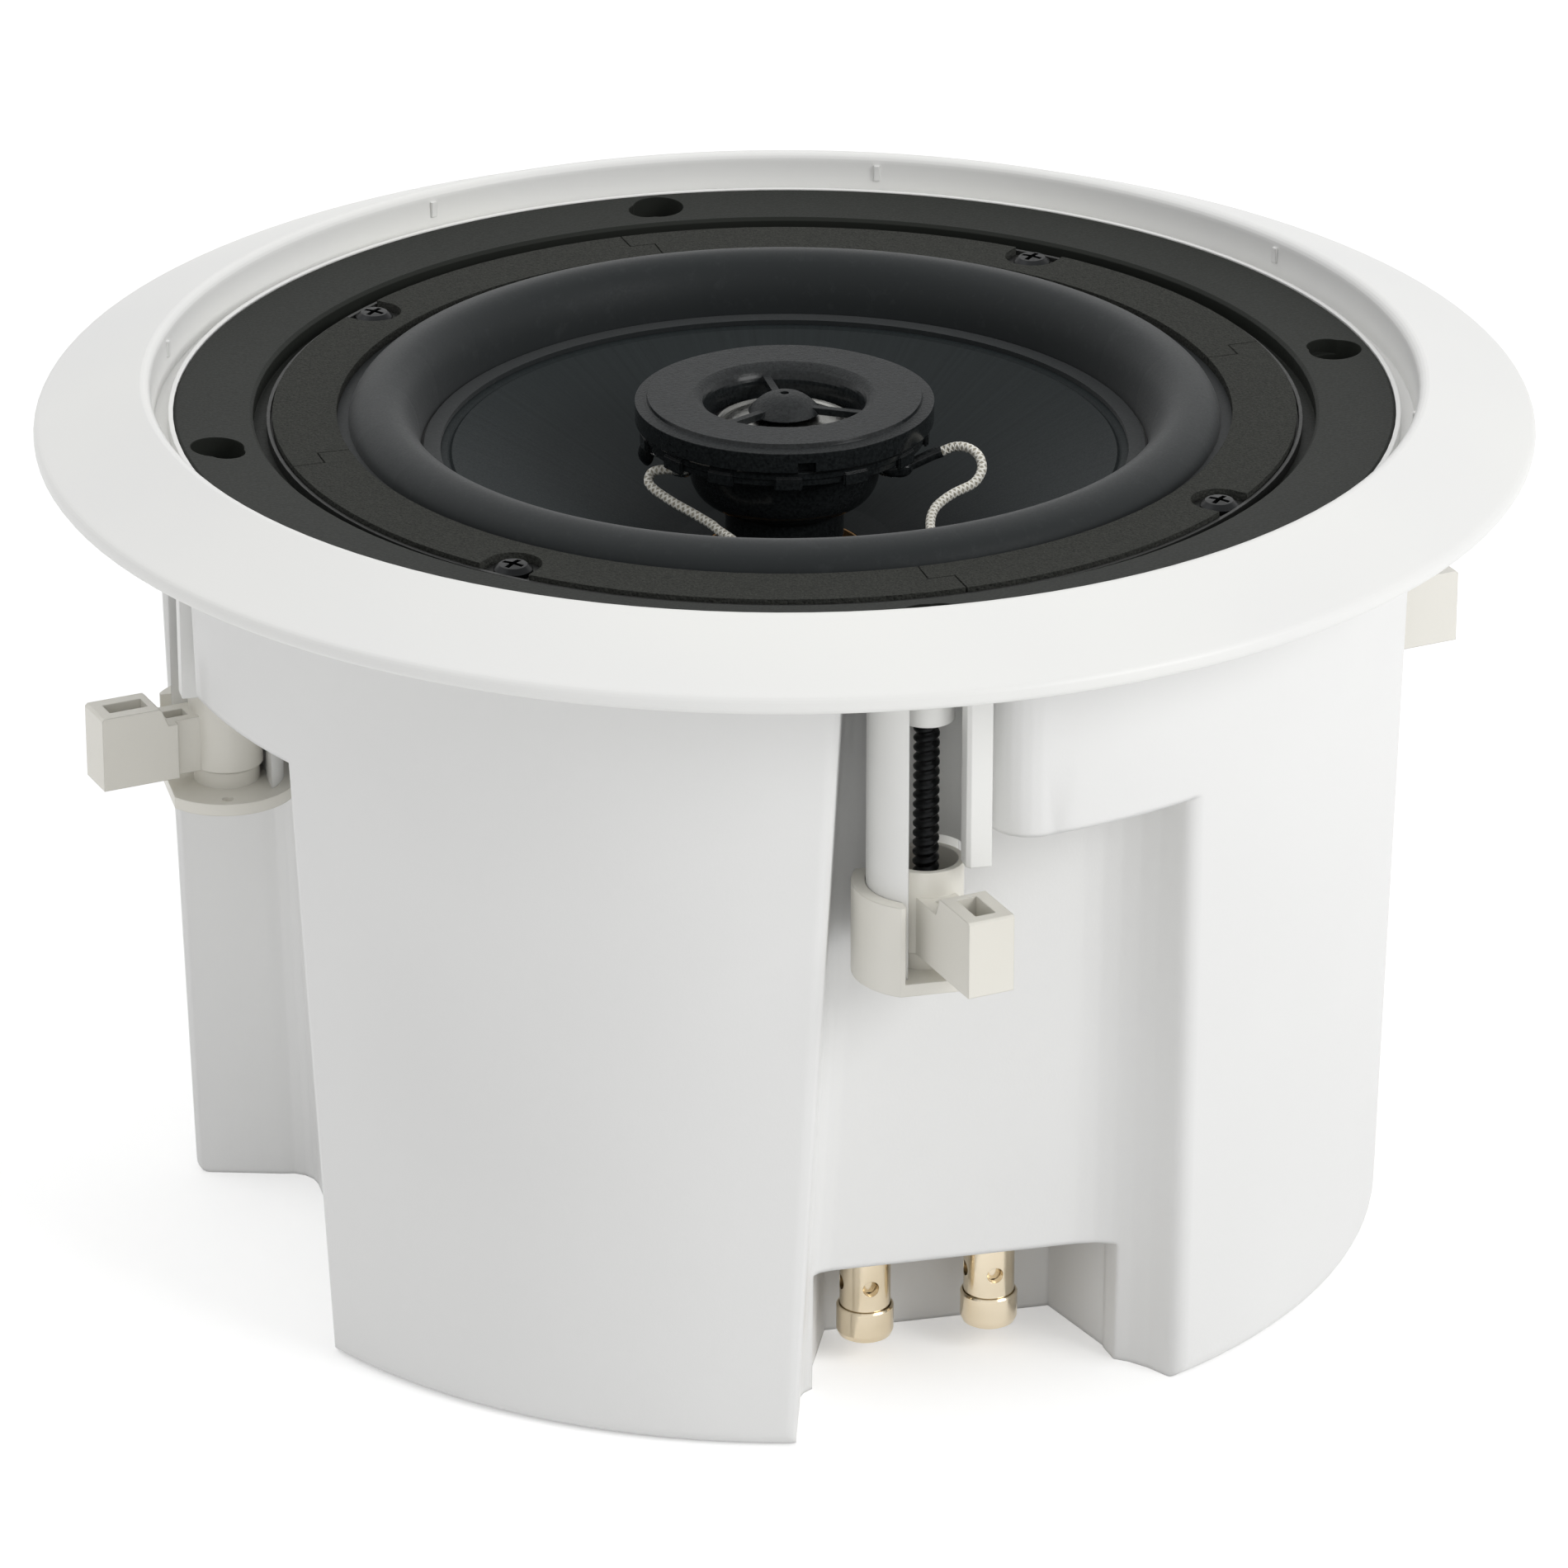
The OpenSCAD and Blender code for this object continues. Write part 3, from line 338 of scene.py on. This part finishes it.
def woven_cloth():
    """Phenolic-dipped cotton of the centring disc, an open weave that shows its threads."""
    material, tree, coords = blank("spider cloth, woven and resin-dipped")
    place = add(tree, "SeparateXYZ", {0: coords})
    warp = math_node(tree, "SINE", math_node(tree, "MULTIPLY", place.outputs[0], 9000.0))
    weft = math_node(tree, "SINE", math_node(tree, "MULTIPLY", place.outputs[1], 9000.0))
    weave = math_node(tree, "MULTIPLY", warp, weft)
    close(
        tree,
        {
            "Base Color": between(tree, spread(tree, weave, 0, 1, -1, 1), colour("#8a6a2c"), colour("#c79b49")),
            "Roughness": 0.72,
            "Normal": bumped(tree, weave, 0.00008, 0.8),
        },
    )
    return material


def kraft_tube():
    """Kraft paper wound into the coil's former, with fibres along the winding."""
    material, tree, coords = blank("former tube, wound kraft paper")
    fibres = noise(tree, add(tree, "Mapping", {0: coords, 3: (1, 1, 6)}).outputs[0], 900.0, 5.0, 0.7)
    close(
        tree,
        {
            "Base Color": between(tree, spread(tree, fibres, 0, 1), colour("#8e6a3f"), colour("#b98f5c")),
            "Roughness": 0.8,
            "Normal": bumped(tree, fibres, 0.00004, 0.6),
        },
    )
    return material


def circuit_board():
    """Glass-epoxy board with green solder mask over broad copper areas."""
    material, tree, coords = blank("crossover board, green solder mask")
    areas = add(tree, "TexVoronoi", {"Vector": coords, "Scale": 110.0}, feature="DISTANCE_TO_EDGE").outputs[0]
    copper = spread(tree, areas, 0.0, 1.0, 0.05, 0.07)
    close(
        tree,
        {
            "Base Color": between(tree, copper, colour("#0d2c17"), colour("#1f5a2c")),
            "Roughness": 0.3,
            "Normal": bumped(tree, copper, 0.00004, 0.7),
        },
    )
    return material


def finishes():
    """Every finish by the name that the pieces below use."""
    c, edge = colours(), sizes().edge_round
    return {
        # Fine satin white that holds wide, soft highlights
        "flange": moulded(
            "flange plastic, injection-moulded white ABS", c.white, "#eeeeeb", 0.4, 2600.0, 0.00002, edge
        ),
        # The same plastic a little duller, with the rounder corners of a deep moulding
        "can": moulded(
            "can plastic, injection-moulded white ABS", c.white, "#e5e5e4", 0.46, 1900.0, 0.00003, 4 * edge
        ),
        # Warmer and a little glossier than the can
        "nylon": moulded("clamp nylon, injection-moulded ivory", c.ivory, "#dfdcd2", 0.36, 1500.0, 0.00003, 0.3),
        # Deep black whose fine texture kills most of its shine
        "baffle": moulded(
            "baffle plastic, spark-textured black ABS", c.black, "#232522", 0.48, 2200.0, 0.00005, 0.25, shine=0.08
        ),
        "gasket": gasket_paper(),
        "rubber": pressed_rubber(),
        "cone": moulded_cone(),
        "tweeter": tweeter_plastic(),
        "braid": braided_sleeve(),
        # Dry black with a faint orange-peel skin
        "basket": metal("basket steel, black powder coat", "#1b1c1b", "#242523", 0.5, 1800.0, 0.00006, 0.2, 0.0),
        # Dark steel that glints on its edges
        "screw": metal("screw steel, black oxide", "#161718", "#232425", 0.34, 1500.0, 0.00003, 0.12, 0.85),
        # Dull silver that shows as small crescents behind the phase plug
        "dome": metal("dome film, aluminised polyimide", "#8d8d8a", "#7b7b78", 0.3, 900.0, 0.00001),
        # Pale champagne metal with sharp reflections
        "gold": metal("terminal brass, thin gold plate", c.gold, "#d6c7ac", 0.17, 1200.0, 0.00001, 0.15),
        # Grey metal with a slight bluish cast
        "zinc": metal("plate steel, zinc plated", "#a6a8aa", "#8e9194", 0.34, 1400.0, 0.00004, 0.2),
        # Dark, dry ceramic
        "ferrite": metal("magnet ferrite, fired and ground", "#2b2b2d", "#37373a", 0.62, 1100.0, 0.0001, 0.3, 0.0),
        # Bright and a little lumpy
        "tin": metal("joint solder, bright tin", "#c9cac8", "#b4b5b4", 0.22, 1500.0, 0.00004),
        "copper": wound_wire(),
        "cloth": woven_cloth(),
        "kraft": kraft_tube(),
        "board": circuit_board(),
        # Smooth yellow wrap
        "film": moulded("capacitor wrap, yellow film", "#c8ad3a", "#b99d2e", 0.28, 900.0, 0.00002, 0.2),
    }


FINISH = {}

# The finish of each solid that is shown as it is
DRESS = {
    "bezel_frame": "flange",
    "back_can": "can",
    "baffle_ring": "baffle",
    "driver_basket": "basket",
    "cone": "cone",
    "coil_former": "kraft",
    "voice_coil": "copper",
    "top_plate": "zinc",
    "magnet": "ferrite",
    "pole_yoke": "zinc",
    "driver_screws": "screw",
    "tweeter_post": "tweeter",
    "tweeter_housing": "tweeter",
    "tweeter_horn": "tweeter",
    "tweeter_magnet": "ferrite",
    "tweeter_dome": "dome",
    "crossover_board": "board",
    "crossover_capacitor": "film",
    "crossover_coil": "copper",
    "crossover_screws": "zinc",
    "terminal_post_left": "gold",
    "terminal_post_right": "gold",
    "terminal_cap_left": "gold",
    "terminal_cap_right": "gold",
    "terminal_spring_left": "zinc",
    "terminal_spring_right": "zinc",
    "terminal_nuts": "gold",
    **{f"gasket_{side}": "gasket" for side in SIDES},
    **{f"clamp_dog_{side}": "nylon" for side in SIDES},
    **{f"clamp_foot_{side}": "nylon" for side in SIDES},
}


# Shapes


def shaped(bm, name, finish, body=None, sharp=math.radians(35)):
    """Turns a bmesh into a finished piece: merged, facing outwards, smooth up to its sharp edges."""
    bmesh.ops.remove_doubles(bm, verts=bm.verts, dist=2e-7)
    bmesh.ops.recalc_face_normals(bm, faces=bm.faces)
    for face in bm.faces:
        face.smooth = True
    for edge in bm.edges:
        edge.smooth = len(edge.link_faces) == 2 and edge.calc_face_angle(0) < sharp
    mesh = bpy.data.meshes.new(name)
    bm.to_mesh(mesh)
    bm.free()
    piece = bpy.data.objects.new(name, mesh)
    bpy.context.scene.collection.objects.link(piece)
    piece.data.materials.append(FINISH[finish])
    if body:
        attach(piece, body)
    return piece


def sheet_of(bm, across, along, place):
    """A grid whose points are set by place(u, v), with the same u and v as its UV map."""
    grid = bmesh.ops.create_grid(bm, x_segments=across, y_segments=along, size=0.5)
    uv = bm.loops.layers.uv.verify()
    flat = {vert: (vert.co.x + 0.5, vert.co.y + 0.5) for vert in grid["verts"]}
    for face in {face for vert in flat for face in vert.link_faces}:
        for loop in face.loops:
            loop[uv].uv = flat[loop.vert]
    for vert, (u, v) in flat.items():
        vert.co = place(u, v)
    bmesh.ops.remove_doubles(bm, verts=list(flat), dist=2e-7)


def capped(bm):
    bmesh.ops.holes_fill(bm, edges=[edge for edge in bm.edges if edge.is_boundary])


def turned(bm, profile, steps=64):
    """A profile of (radius, height) points in millimetres, spun round the Z axis."""
    points = [bm.verts.new((r * MM, 0, z * MM)) for r, z in profile]
    edges = [bm.edges.new(pair) for pair in zip(points, points[1:])]
    bmesh.ops.spin(
        bm, geom=points + edges, axis=(0, 0, 1), cent=(0, 0, 0), angle=math.tau, steps=steps, use_merge=True
    )
    bmesh.ops.remove_doubles(bm, verts=bm.verts, dist=2e-7)
    capped(bm)


def cut_with(piece, cutter):
    """Takes cutter out of piece and removes it."""
    modifier = piece.modifiers.new("cut", "BOOLEAN")
    modifier.object = cutter
    modifier.solver = "EXACT"
    bpy.context.view_layer.update()
    result = bpy.data.meshes.new_from_object(piece.evaluated_get(bpy.context.evaluated_depsgraph_get()))
    piece.modifiers.clear()
    piece.data = result
    bpy.data.objects.remove(cutter)


def along_route(points, samples):
    """Points at even spacing on a smooth curve through the route's points."""
    ends = [points[0], *points, points[-1]]
    fine = []
    for a, b, c, d in zip(ends, ends[1:], ends[2:], ends[3:]):
        for k in range(12):
            t = k / 12
            fine.append(
                0.5 * (2 * b + (c - a) * t + (2 * a - 5 * b + 4 * c - d) * t * t + (3 * b - a - 3 * c + d) * t**3)
            )
    fine.append(points[-1])
    lengths = [0.0]
    for a, b in zip(fine, fine[1:]):
        lengths.append(lengths[-1] + (b - a).length)
    out, k = [], 0
    for i in range(samples + 1):
        s = lengths[-1] * i / samples
        while k < len(fine) - 2 and lengths[k + 1] < s:
            k += 1
        out.append(fine[k].lerp(fine[k + 1], (s - lengths[k]) / max(lengths[k + 1] - lengths[k], 1e-12)))
    return out, lengths[-1]


def tube_along(name, points, radius, finish, sides=16, samples=120):
    """A round tube on a route, its UV map running round it and along it in millimetres."""
    line, length = along_route(points, samples)
    frames = []
    side = Vector((0.3, 0.2, 1.0))
    for i, point in enumerate(line):
        ahead = (line[min(i + 1, samples)] - line[max(i - 1, 0)]).normalized()
        side = (side - ahead * side.dot(ahead)).normalized()
        frames.append((point, side.copy(), ahead.cross(side)))

    def place(u, v):
        point, one, two = frames[round(v * samples)]
        turn = u * math.tau
        return point + radius * (math.cos(turn) * one + math.sin(turn) * two)

    bm = bmesh.new()
    sheet_of(bm, sides, samples, place)
    uv = bm.loops.layers.uv.verify()
    for face in bm.faces:
        for loop in face.loops:
            loop[uv].uv = (loop[uv].uv[0], loop[uv].uv[1] * length / MM)
    capped(bm)
    return shaped(bm, name, finish)


# Routes of the tweeter leads, in millimetres, as in the part's source
LEADS = {
    "left": [
        (-17.1, -2.7, 125.4), (-18.6, -1.9, 125.6), (-20.1, -1.0, 125.4), (-21.6, -0.4, 124.8),
        (-22.3, -1.3, 123.7), (-21.8, -2.8, 123.0), (-20.9, -4.2, 122.5), (-20.0, -5.6, 122.1),
        (-19.0, -7.0, 121.7), (-17.9, -8.3, 121.3), (-16.7, -9.5, 120.8), (-15.6, -10.7, 120.3),
        (-14.6, -12.1, 119.9), (-13.9, -13.6, 119.5), (-13.1, -15.1, 119.2), (-12.3, -16.7, 118.9),
        (-11.7, -18.2, 118.5), (-11.4, -19.8, 117.9), (-11.2, -21.4, 117.3), (-10.9, -23.1, 116.9),
    ],
    "right": [
        (14.4, -10.2, 125.4), (16.1, -10.2, 125.8), (17.9, -10.2, 126.3), (19.6, -10.3, 127.0),
        (21.3, -10.4, 127.7), (22.9, -10.7, 128.3), (24.6, -11.1, 129.0), (26.0, -12.1, 129.3),
        (27.2, -13.5, 129.1), (27.9, -15.0, 128.4), (27.9, -16.5, 127.3), (27.1, -17.8, 126.4),
        (25.8, -18.9, 125.7), (24.2, -19.7, 125.4), (22.6, -20.5, 125.2), (21.1, -21.4, 124.9),
        (19.6, -22.5, 124.5), (18.4, -23.7, 124.1), (17.5, -25.2, 123.6), (16.9, -26.8, 123.1),
        (16.5, -28.5, 122.6), (16.1, -30.2, 122.2), (15.6, -31.9, 121.8), (14.9, -33.6, 121.6),
    ],
}
# The bare tail from the left lug to the lead
LEAD_TAIL = [(-20.9, 4.4, 126.2), (-19.6, 1.6, 126.5), (-18.3, -1.1, 126.0), (-17.2, -2.6, 125.5)]


class SPEAKER_OT_camera(bpy.types.Operator):
    """Sets the camera where the photograph was taken from"""

    bl_idname = "speaker.camera"
    bl_label = "Camera"

    def execute(self, context):
        lens = bpy.data.cameras.new("camera")
        lens.lens = 189.47
        lens.sensor_width = 36
        lens.clip_start, lens.clip_end = 0.05, 20
        camera = bpy.data.objects.new("camera", lens)
        dip = math.radians(23.91)
        look = Vector((0.2334 * math.cos(dip), 0.9724 * math.cos(dip), -math.sin(dip)))
        camera.matrix_world = Matrix.Translation(Vector((-283.1, -1179.1, 606.4)) * MM) @ look.to_track_quat(
            "-Z", "Y"
        ).to_matrix().to_4x4()
        context.scene.collection.objects.link(camera)
        context.scene.camera = camera
        return {"FINISHED"}


class SPEAKER_OT_leads(bpy.types.Operator):
    """Makes the two braided tweeter leads, a black sleeve on the right one and a bare tail on the left one"""

    bl_idname = "speaker.leads"
    bl_label = "Tweeter leads"

    def execute(self, context):
        for side, route in LEADS.items():
            points = [Vector(p) * MM for p in route]
            lead = tube_along(f"lead_{side}", points, sizes().lead_width / 2 * MM, "braid")
            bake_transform(lead)
            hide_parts(f"tweeter_lead_{side}")
        sleeve = [Vector(p) * MM for p in LEADS["right"][:6]]
        for name, points, radius, finish, slot in (
            ("lead_sleeve_right", sleeve, 0.95, "tweeter", "tweeter_black"),
            ("lead_tail_left", [Vector(p) * MM for p in LEAD_TAIL], 0.3, "tin", "zinc_steel"),
        ):
            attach(tube_along(name, points, radius * MM, finish, 12, 40), "speaker")
        return {"FINISHED"}


class SPEAKER_OT_solids(bpy.types.Operator):
    """Gives each of the part's own solids its finish"""

    bl_idname = "speaker.solids"
    bl_label = "Finishes of the solids"

    def execute(self, context):
        for node, finish in DRESS.items():
            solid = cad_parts[node]
            solid.data.materials.clear()
            solid.data.materials.append(FINISH[finish])
        return {"FINISHED"}


class SPEAKER_OT_surround(bpy.types.Operator):
    """Makes the rubber surround and the centring disc in sectors"""

    bl_idname = "speaker.surround"
    bl_label = "Surround and spider"

    def execute(self, context):
        s = sizes()
        mid, half = (s.roll_out + s.roll_in) / 2, (s.roll_out - s.roll_in) / 2
        seat, crest, cone_edge = 132.1, 136.9, 127.1  # heights in mm
        skin, lip = 0.9, 3.2
        arc_steps = 24

        def roll(gap):
            points = []
            for i in range(arc_steps + 1):
                turn = math.pi * i / arc_steps
                foot = seat if turn <= math.pi / 2 else cone_edge
                rise = (crest - gap - foot) * math.sin(turn) ** 0.85
                points.append((mid + (half - gap) * math.cos(turn), foot + rise))
            return points

        lip_top = seat + 0.88
        over = [(s.roll_out + lip, seat), (s.roll_out + lip, lip_top), (s.roll_out, lip_top)]
        over += [p for p in roll(0) if p[1] > seat + skin or p[0] < mid]
        inner = s.roll_in - lip
        over += [(s.roll_in - 0.6, cone_edge + skin), (inner, cone_edge + 0.8), (inner, cone_edge)]
        self.sectors("surround", over + roll(skin)[::-1], s.roll_out, s.roll_in, "rubber", "surround_rubber")

        coil, rim, middle, height, cloth = 12.72, 45.6, 103.6, 0.9, 0.4
        waves, steps = 6, 48
        under = []
        for i in range(steps + 1):
            reach = min(1, i / 6, (steps - i) / 6)
            swell = height * math.sin(math.tau * waves * i / steps) * reach
            under.append((coil + (rim - coil) * i / steps, middle + swell))
        disc = [(r, z + cloth) for r, z in under][::-1] + under
        self.sectors("spider", disc, rim, 12.8, "cloth", "spider_cloth")
        return {"FINISHED"}

    def sectors(self, node, profile, outer, inner, finish, slot, count=24):
        loop = profile + [profile[0]]
        for k in range(count):

            def place(u, v):
                r, z = loop[round(v * (len(loop) - 1))]
                turn = math.tau * (k + u) / count
                return Vector((r * math.sin(turn), -r * math.cos(turn), z)) * MM

            bm = bmesh.new()
            sheet_of(bm, 6, len(loop) - 1, place)
            capped(bm)
            piece = shaped(bm, f"{node}_{k:02d}", finish)
            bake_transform(piece)
            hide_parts(node)


class SPEAKER_OT_clamp_screws(bpy.types.Operator):
    """Makes the four clamp screws with their coarse thread and cross recess"""

    bl_idname = "speaker.clamp_screws"
    bl_label = "Clamp screws"

    def execute(self, context):
        s = sizes()
        low, high, radius = 78.4, 125.8, 2.0
        fade, plain, tip_taper = 1.2, 2.5, 0.3  # where the thread starts and ends, in mm

        def place(u, v):
            z = low + (high - low) * v
            phase = (z / s.thread_pitch - u) % 1.0
            groove = max(0.0, 1 - abs(2 * phase - 1) * 1.35)
            ends = min(1.0, (z - low) / fade, max(0.0, high - plain - z) / fade)
            cut = s.thread_depth * groove * max(ends, 0)
            r = radius - cut - tip_taper * max(0, 1 - (z - low))
            return Vector((r * math.cos(u * math.tau), r * math.sin(u * math.tau), z)) * MM

        for side in SIDES:
            bm = bmesh.new()
            sheet_of(bm, 28, 245, place)
            capped(bm)
            bm.transform(AT_CLAMP[side])
            shaped(bm, f"clamp_thread_{side}", "screw", f"clamp_{side}_screw", math.radians(60))
            bm = bmesh.new()
            turned(bm, [(0, 0), (3.55, 0), (3.7, 0.12), (3.7, 1.0), (3.35, 1.75), (2.66, 2.2), (1.6, 2.38), (0, 2.4)])
            bm.transform(Matrix.Translation((0, 0, high * MM)))
            bm.transform(AT_CLAMP[side])
            head = shaped(bm, f"clamp_screw_head_{side}", "screw", None)
            bm = bmesh.new()
            arm, half = 2.1, 0.48
            corners = [(half, half), (arm, half), (arm, -half), (half, -half), (half, -arm), (-half, -arm)]
            corners += [(-x, -y) for x, y in corners]
            cross = bm.faces.new([bm.verts.new(Vector((x, y, high + 0.9)) * MM) for x, y in corners])
            grown = bmesh.ops.extrude_face_region(bm, geom=[cross])["geom"]
            raised = [part for part in grown if isinstance(part, bmesh.types.BMVert)]
            bmesh.ops.translate(bm, verts=raised, vec=Vector((0, 0, 2.4)) * MM)
            bm.transform(AT_CLAMP[side] @ Matrix.Rotation(math.radians(20), 4, "Z"))
            cut_with(head, shaped(bm, "cutter", "screw"))
            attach(head, f"clamp_{side}_screw")
            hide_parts(f"clamp_screw_{side}")
        return {"FINISHED"}


class SPEAKER_OT_tweeter_band(bpy.types.Operator):
    """Makes the stepped band under the tweeter's face, with its snap tabs"""

    bl_idname = "speaker.tweeter_band"
    bl_label = "Tweeter band"

    def execute(self, context):
        bm = bmesh.new()
        band = [(17.6, 131.46), (22.5, 131.46), (22.5, 130.3), (22.2, 130.1)]
        band += [(22.2, 129.2), (21.4, 128.8), (17.6, 128.8)]
        turned(bm, [*band, band[0]], 96)
        shaped(bm, "tweeter_band", "tweeter", "speaker")
        for k, turn in enumerate((-64, -40, -12, 16, 44, 72, 108, 150, 192, 234, 268)):
            bm = bmesh.new()
            tab = bmesh.ops.create_cube(bm, size=1)["verts"]
            bmesh.ops.scale(bm, verts=tab, vec=Vector((4.4, 0.9, 2.3)) * MM)
            bmesh.ops.bevel(bm, geom=bm.edges[:], offset=0.25 * MM, segments=2, affect="EDGES")
            bmesh.ops.translate(bm, verts=bm.verts, vec=Vector((0, -22.4, 129.7)) * MM)
            bmesh.ops.rotate(bm, verts=bm.verts, matrix=Matrix.Rotation(math.radians(turn), 3, "Z"))
            shaped(bm, f"tweeter_tab_{k:02d}", "tweeter", "speaker")
        return {"FINISHED"}


class SPEAKER_OT_joints(bpy.types.Operator):
    """Adds the solder and glue where the leads join the tweeter"""

    bl_idname = "speaker.joints"
    bl_label = "Solder and glue"

    def execute(self, context):
        for name, at, size, finish, slot in (
            ("solder_right", (14.6, -10.2, 125.5), (1.7, 1.3, 1.1), "tin", "zinc_steel"),
            ("solder_left", (-17.3, -2.7, 125.5), (1.5, 1.3, 1.1), "tin", "zinc_steel"),
            ("lug_left", (-21.3, 5.0, 126.2), (1.2, 1.6, 2.4), "tweeter", "tweeter_black"),
            ("glue_right", (15.6, -10.6, 125.8), (2.3, 1.6, 1.4), "tweeter", "tweeter_black"),
        ):
            bm = bmesh.new()
            bmesh.ops.create_icosphere(bm, subdivisions=3, radius=MM)
            for vert in bm.verts:
                x, y, z = vert.co / MM
                lump = 1 + 0.12 * math.sin(3.1 * x + 1.7 * y) + 0.1 * math.cos(2.3 * z + 2.9 * y)
                vert.co = (Vector((x * size[0], y * size[1], z * size[2])) * lump + Vector(at)) * MM
            shaped(bm, name, finish, "speaker")
        return {"FINISHED"}


class SPEAKER_OT_stage(bpy.types.Operator):
    """Sets the pale floor, the white backdrop and the soft studio lamps"""

    bl_idname = "speaker.stage"
    bl_label = "Stage"

    def execute(self, context):
        scene = context.scene
        scene.view_settings.view_transform = "Standard"
        bm = bmesh.new()
        bmesh.ops.create_grid(bm, x_segments=1, y_segments=1, size=6)
        floor_mesh = bpy.data.meshes.new("floor")
        bm.to_mesh(floor_mesh)
        bm.free()
        floor = bpy.data.objects.new("floor", floor_mesh)
        scene.collection.objects.link(floor)
        material, tree, _ = blank("floor paper, matt white")
        path = add(tree, "LightPath")
        seen = math_node(tree, "MAXIMUM", path.outputs["Is Camera Ray"], path.outputs["Is Glossy Ray"])
        paper = {"Base Color": colour("#fafafa"), "Roughness": 0.9, "Specular IOR Level": 0.1}
        paper["Emission Color"] = colour("#ffffff")
        paper["Emission Strength"] = math_node(tree, "MULTIPLY", seen, 0.3)
        close(tree, paper)
        floor.data.materials.append(material)
        world = bpy.data.worlds.new("studio")
        world.use_nodes = True
        scene.world = world
        tree = world.node_tree
        tree.nodes.clear()
        path = add(tree, "LightPath")
        seen = math_node(tree, "MAXIMUM", path.outputs["Is Camera Ray"], path.outputs["Is Glossy Ray"])
        seen = math_node(tree, "MAXIMUM", seen, path.outputs["Is Transmission Ray"])
        soft = add(tree, "Background", {"Color": colour("#ffffff"), "Strength": 0.62})
        white = add(tree, "Background", {"Color": colour("#ffffff"), "Strength": 1.0})
        mixed = add(tree, "MixShader", {0: seen, 1: soft.outputs[0], 2: white.outputs[0]})
        add(tree, "OutputWorld", {0: mixed.outputs[0]})
        for name, at, size, power in (
            ("lamp_right", (1.1, -1.2, 0.95), 0.9, 11.5),
            ("lamp_left", (-0.9, 0.4, 1.5), 1.0, 3.0),
            ("lamp_top", (0.1, 0.5, 1.6), 1.2, 3.0),
        ):
            lamp = bpy.data.lights.new(name, "AREA")
            lamp.shape = "DISK"
            lamp.size = size
            lamp.energy = power
            light = bpy.data.objects.new(name, lamp)
            place = Vector(at)
            light.matrix_world = Matrix.Translation(place) @ (Vector((0, 0, 0.1)) - place).to_track_quat(
                "-Z", "Y"
            ).to_matrix().to_4x4()
            scene.collection.objects.link(light)
        return {"FINISHED"}


class SPEAKER_PT_panel(bpy.types.Panel):
    """Lists the speaker's sizes, colours and pieces"""

    bl_idname = "SPEAKER_PT_panel"
    bl_label = "Ceiling speaker"
    bl_space_type = "VIEW_3D"
    bl_region_type = "UI"
    bl_category = "Speaker"

    def draw(self, context):
        layout = self.layout
        for group in (context.scene.speaker_sizes, context.scene.speaker_colours):
            for name in group.bl_rna.properties.keys():
                if name not in ("rna_type", "name"):
                    layout.prop(group, name)
        for operator in OPERATORS:
            layout.operator(operator.bl_idname)


OPERATORS = (
    SPEAKER_OT_camera,
    SPEAKER_OT_leads,
    SPEAKER_OT_solids,
    SPEAKER_OT_surround,
    SPEAKER_OT_clamp_screws,
    SPEAKER_OT_tweeter_band,
    SPEAKER_OT_joints,
    SPEAKER_OT_stage,
)
CLASSES = (SpeakerSizes, SpeakerColours, *OPERATORS, SPEAKER_PT_panel)


def register():
    for cls in CLASSES:
        bpy.utils.register_class(cls)
    bpy.types.Scene.speaker_sizes = bpy.props.PointerProperty(type=SpeakerSizes)
    bpy.types.Scene.speaker_colours = bpy.props.PointerProperty(type=SpeakerColours)


def unregister():
    del bpy.types.Scene.speaker_sizes
    del bpy.types.Scene.speaker_colours
    for cls in reversed(CLASSES):
        bpy.utils.unregister_class(cls)


def main():
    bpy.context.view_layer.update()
    register()
    FINISH.update(finishes())
    for name in ("camera", "leads", "solids", "surround", "clamp_screws", "tweeter_band", "joints", "stage"):
        getattr(bpy.ops.speaker, name)()


if __name__ == "__main__":
    main()
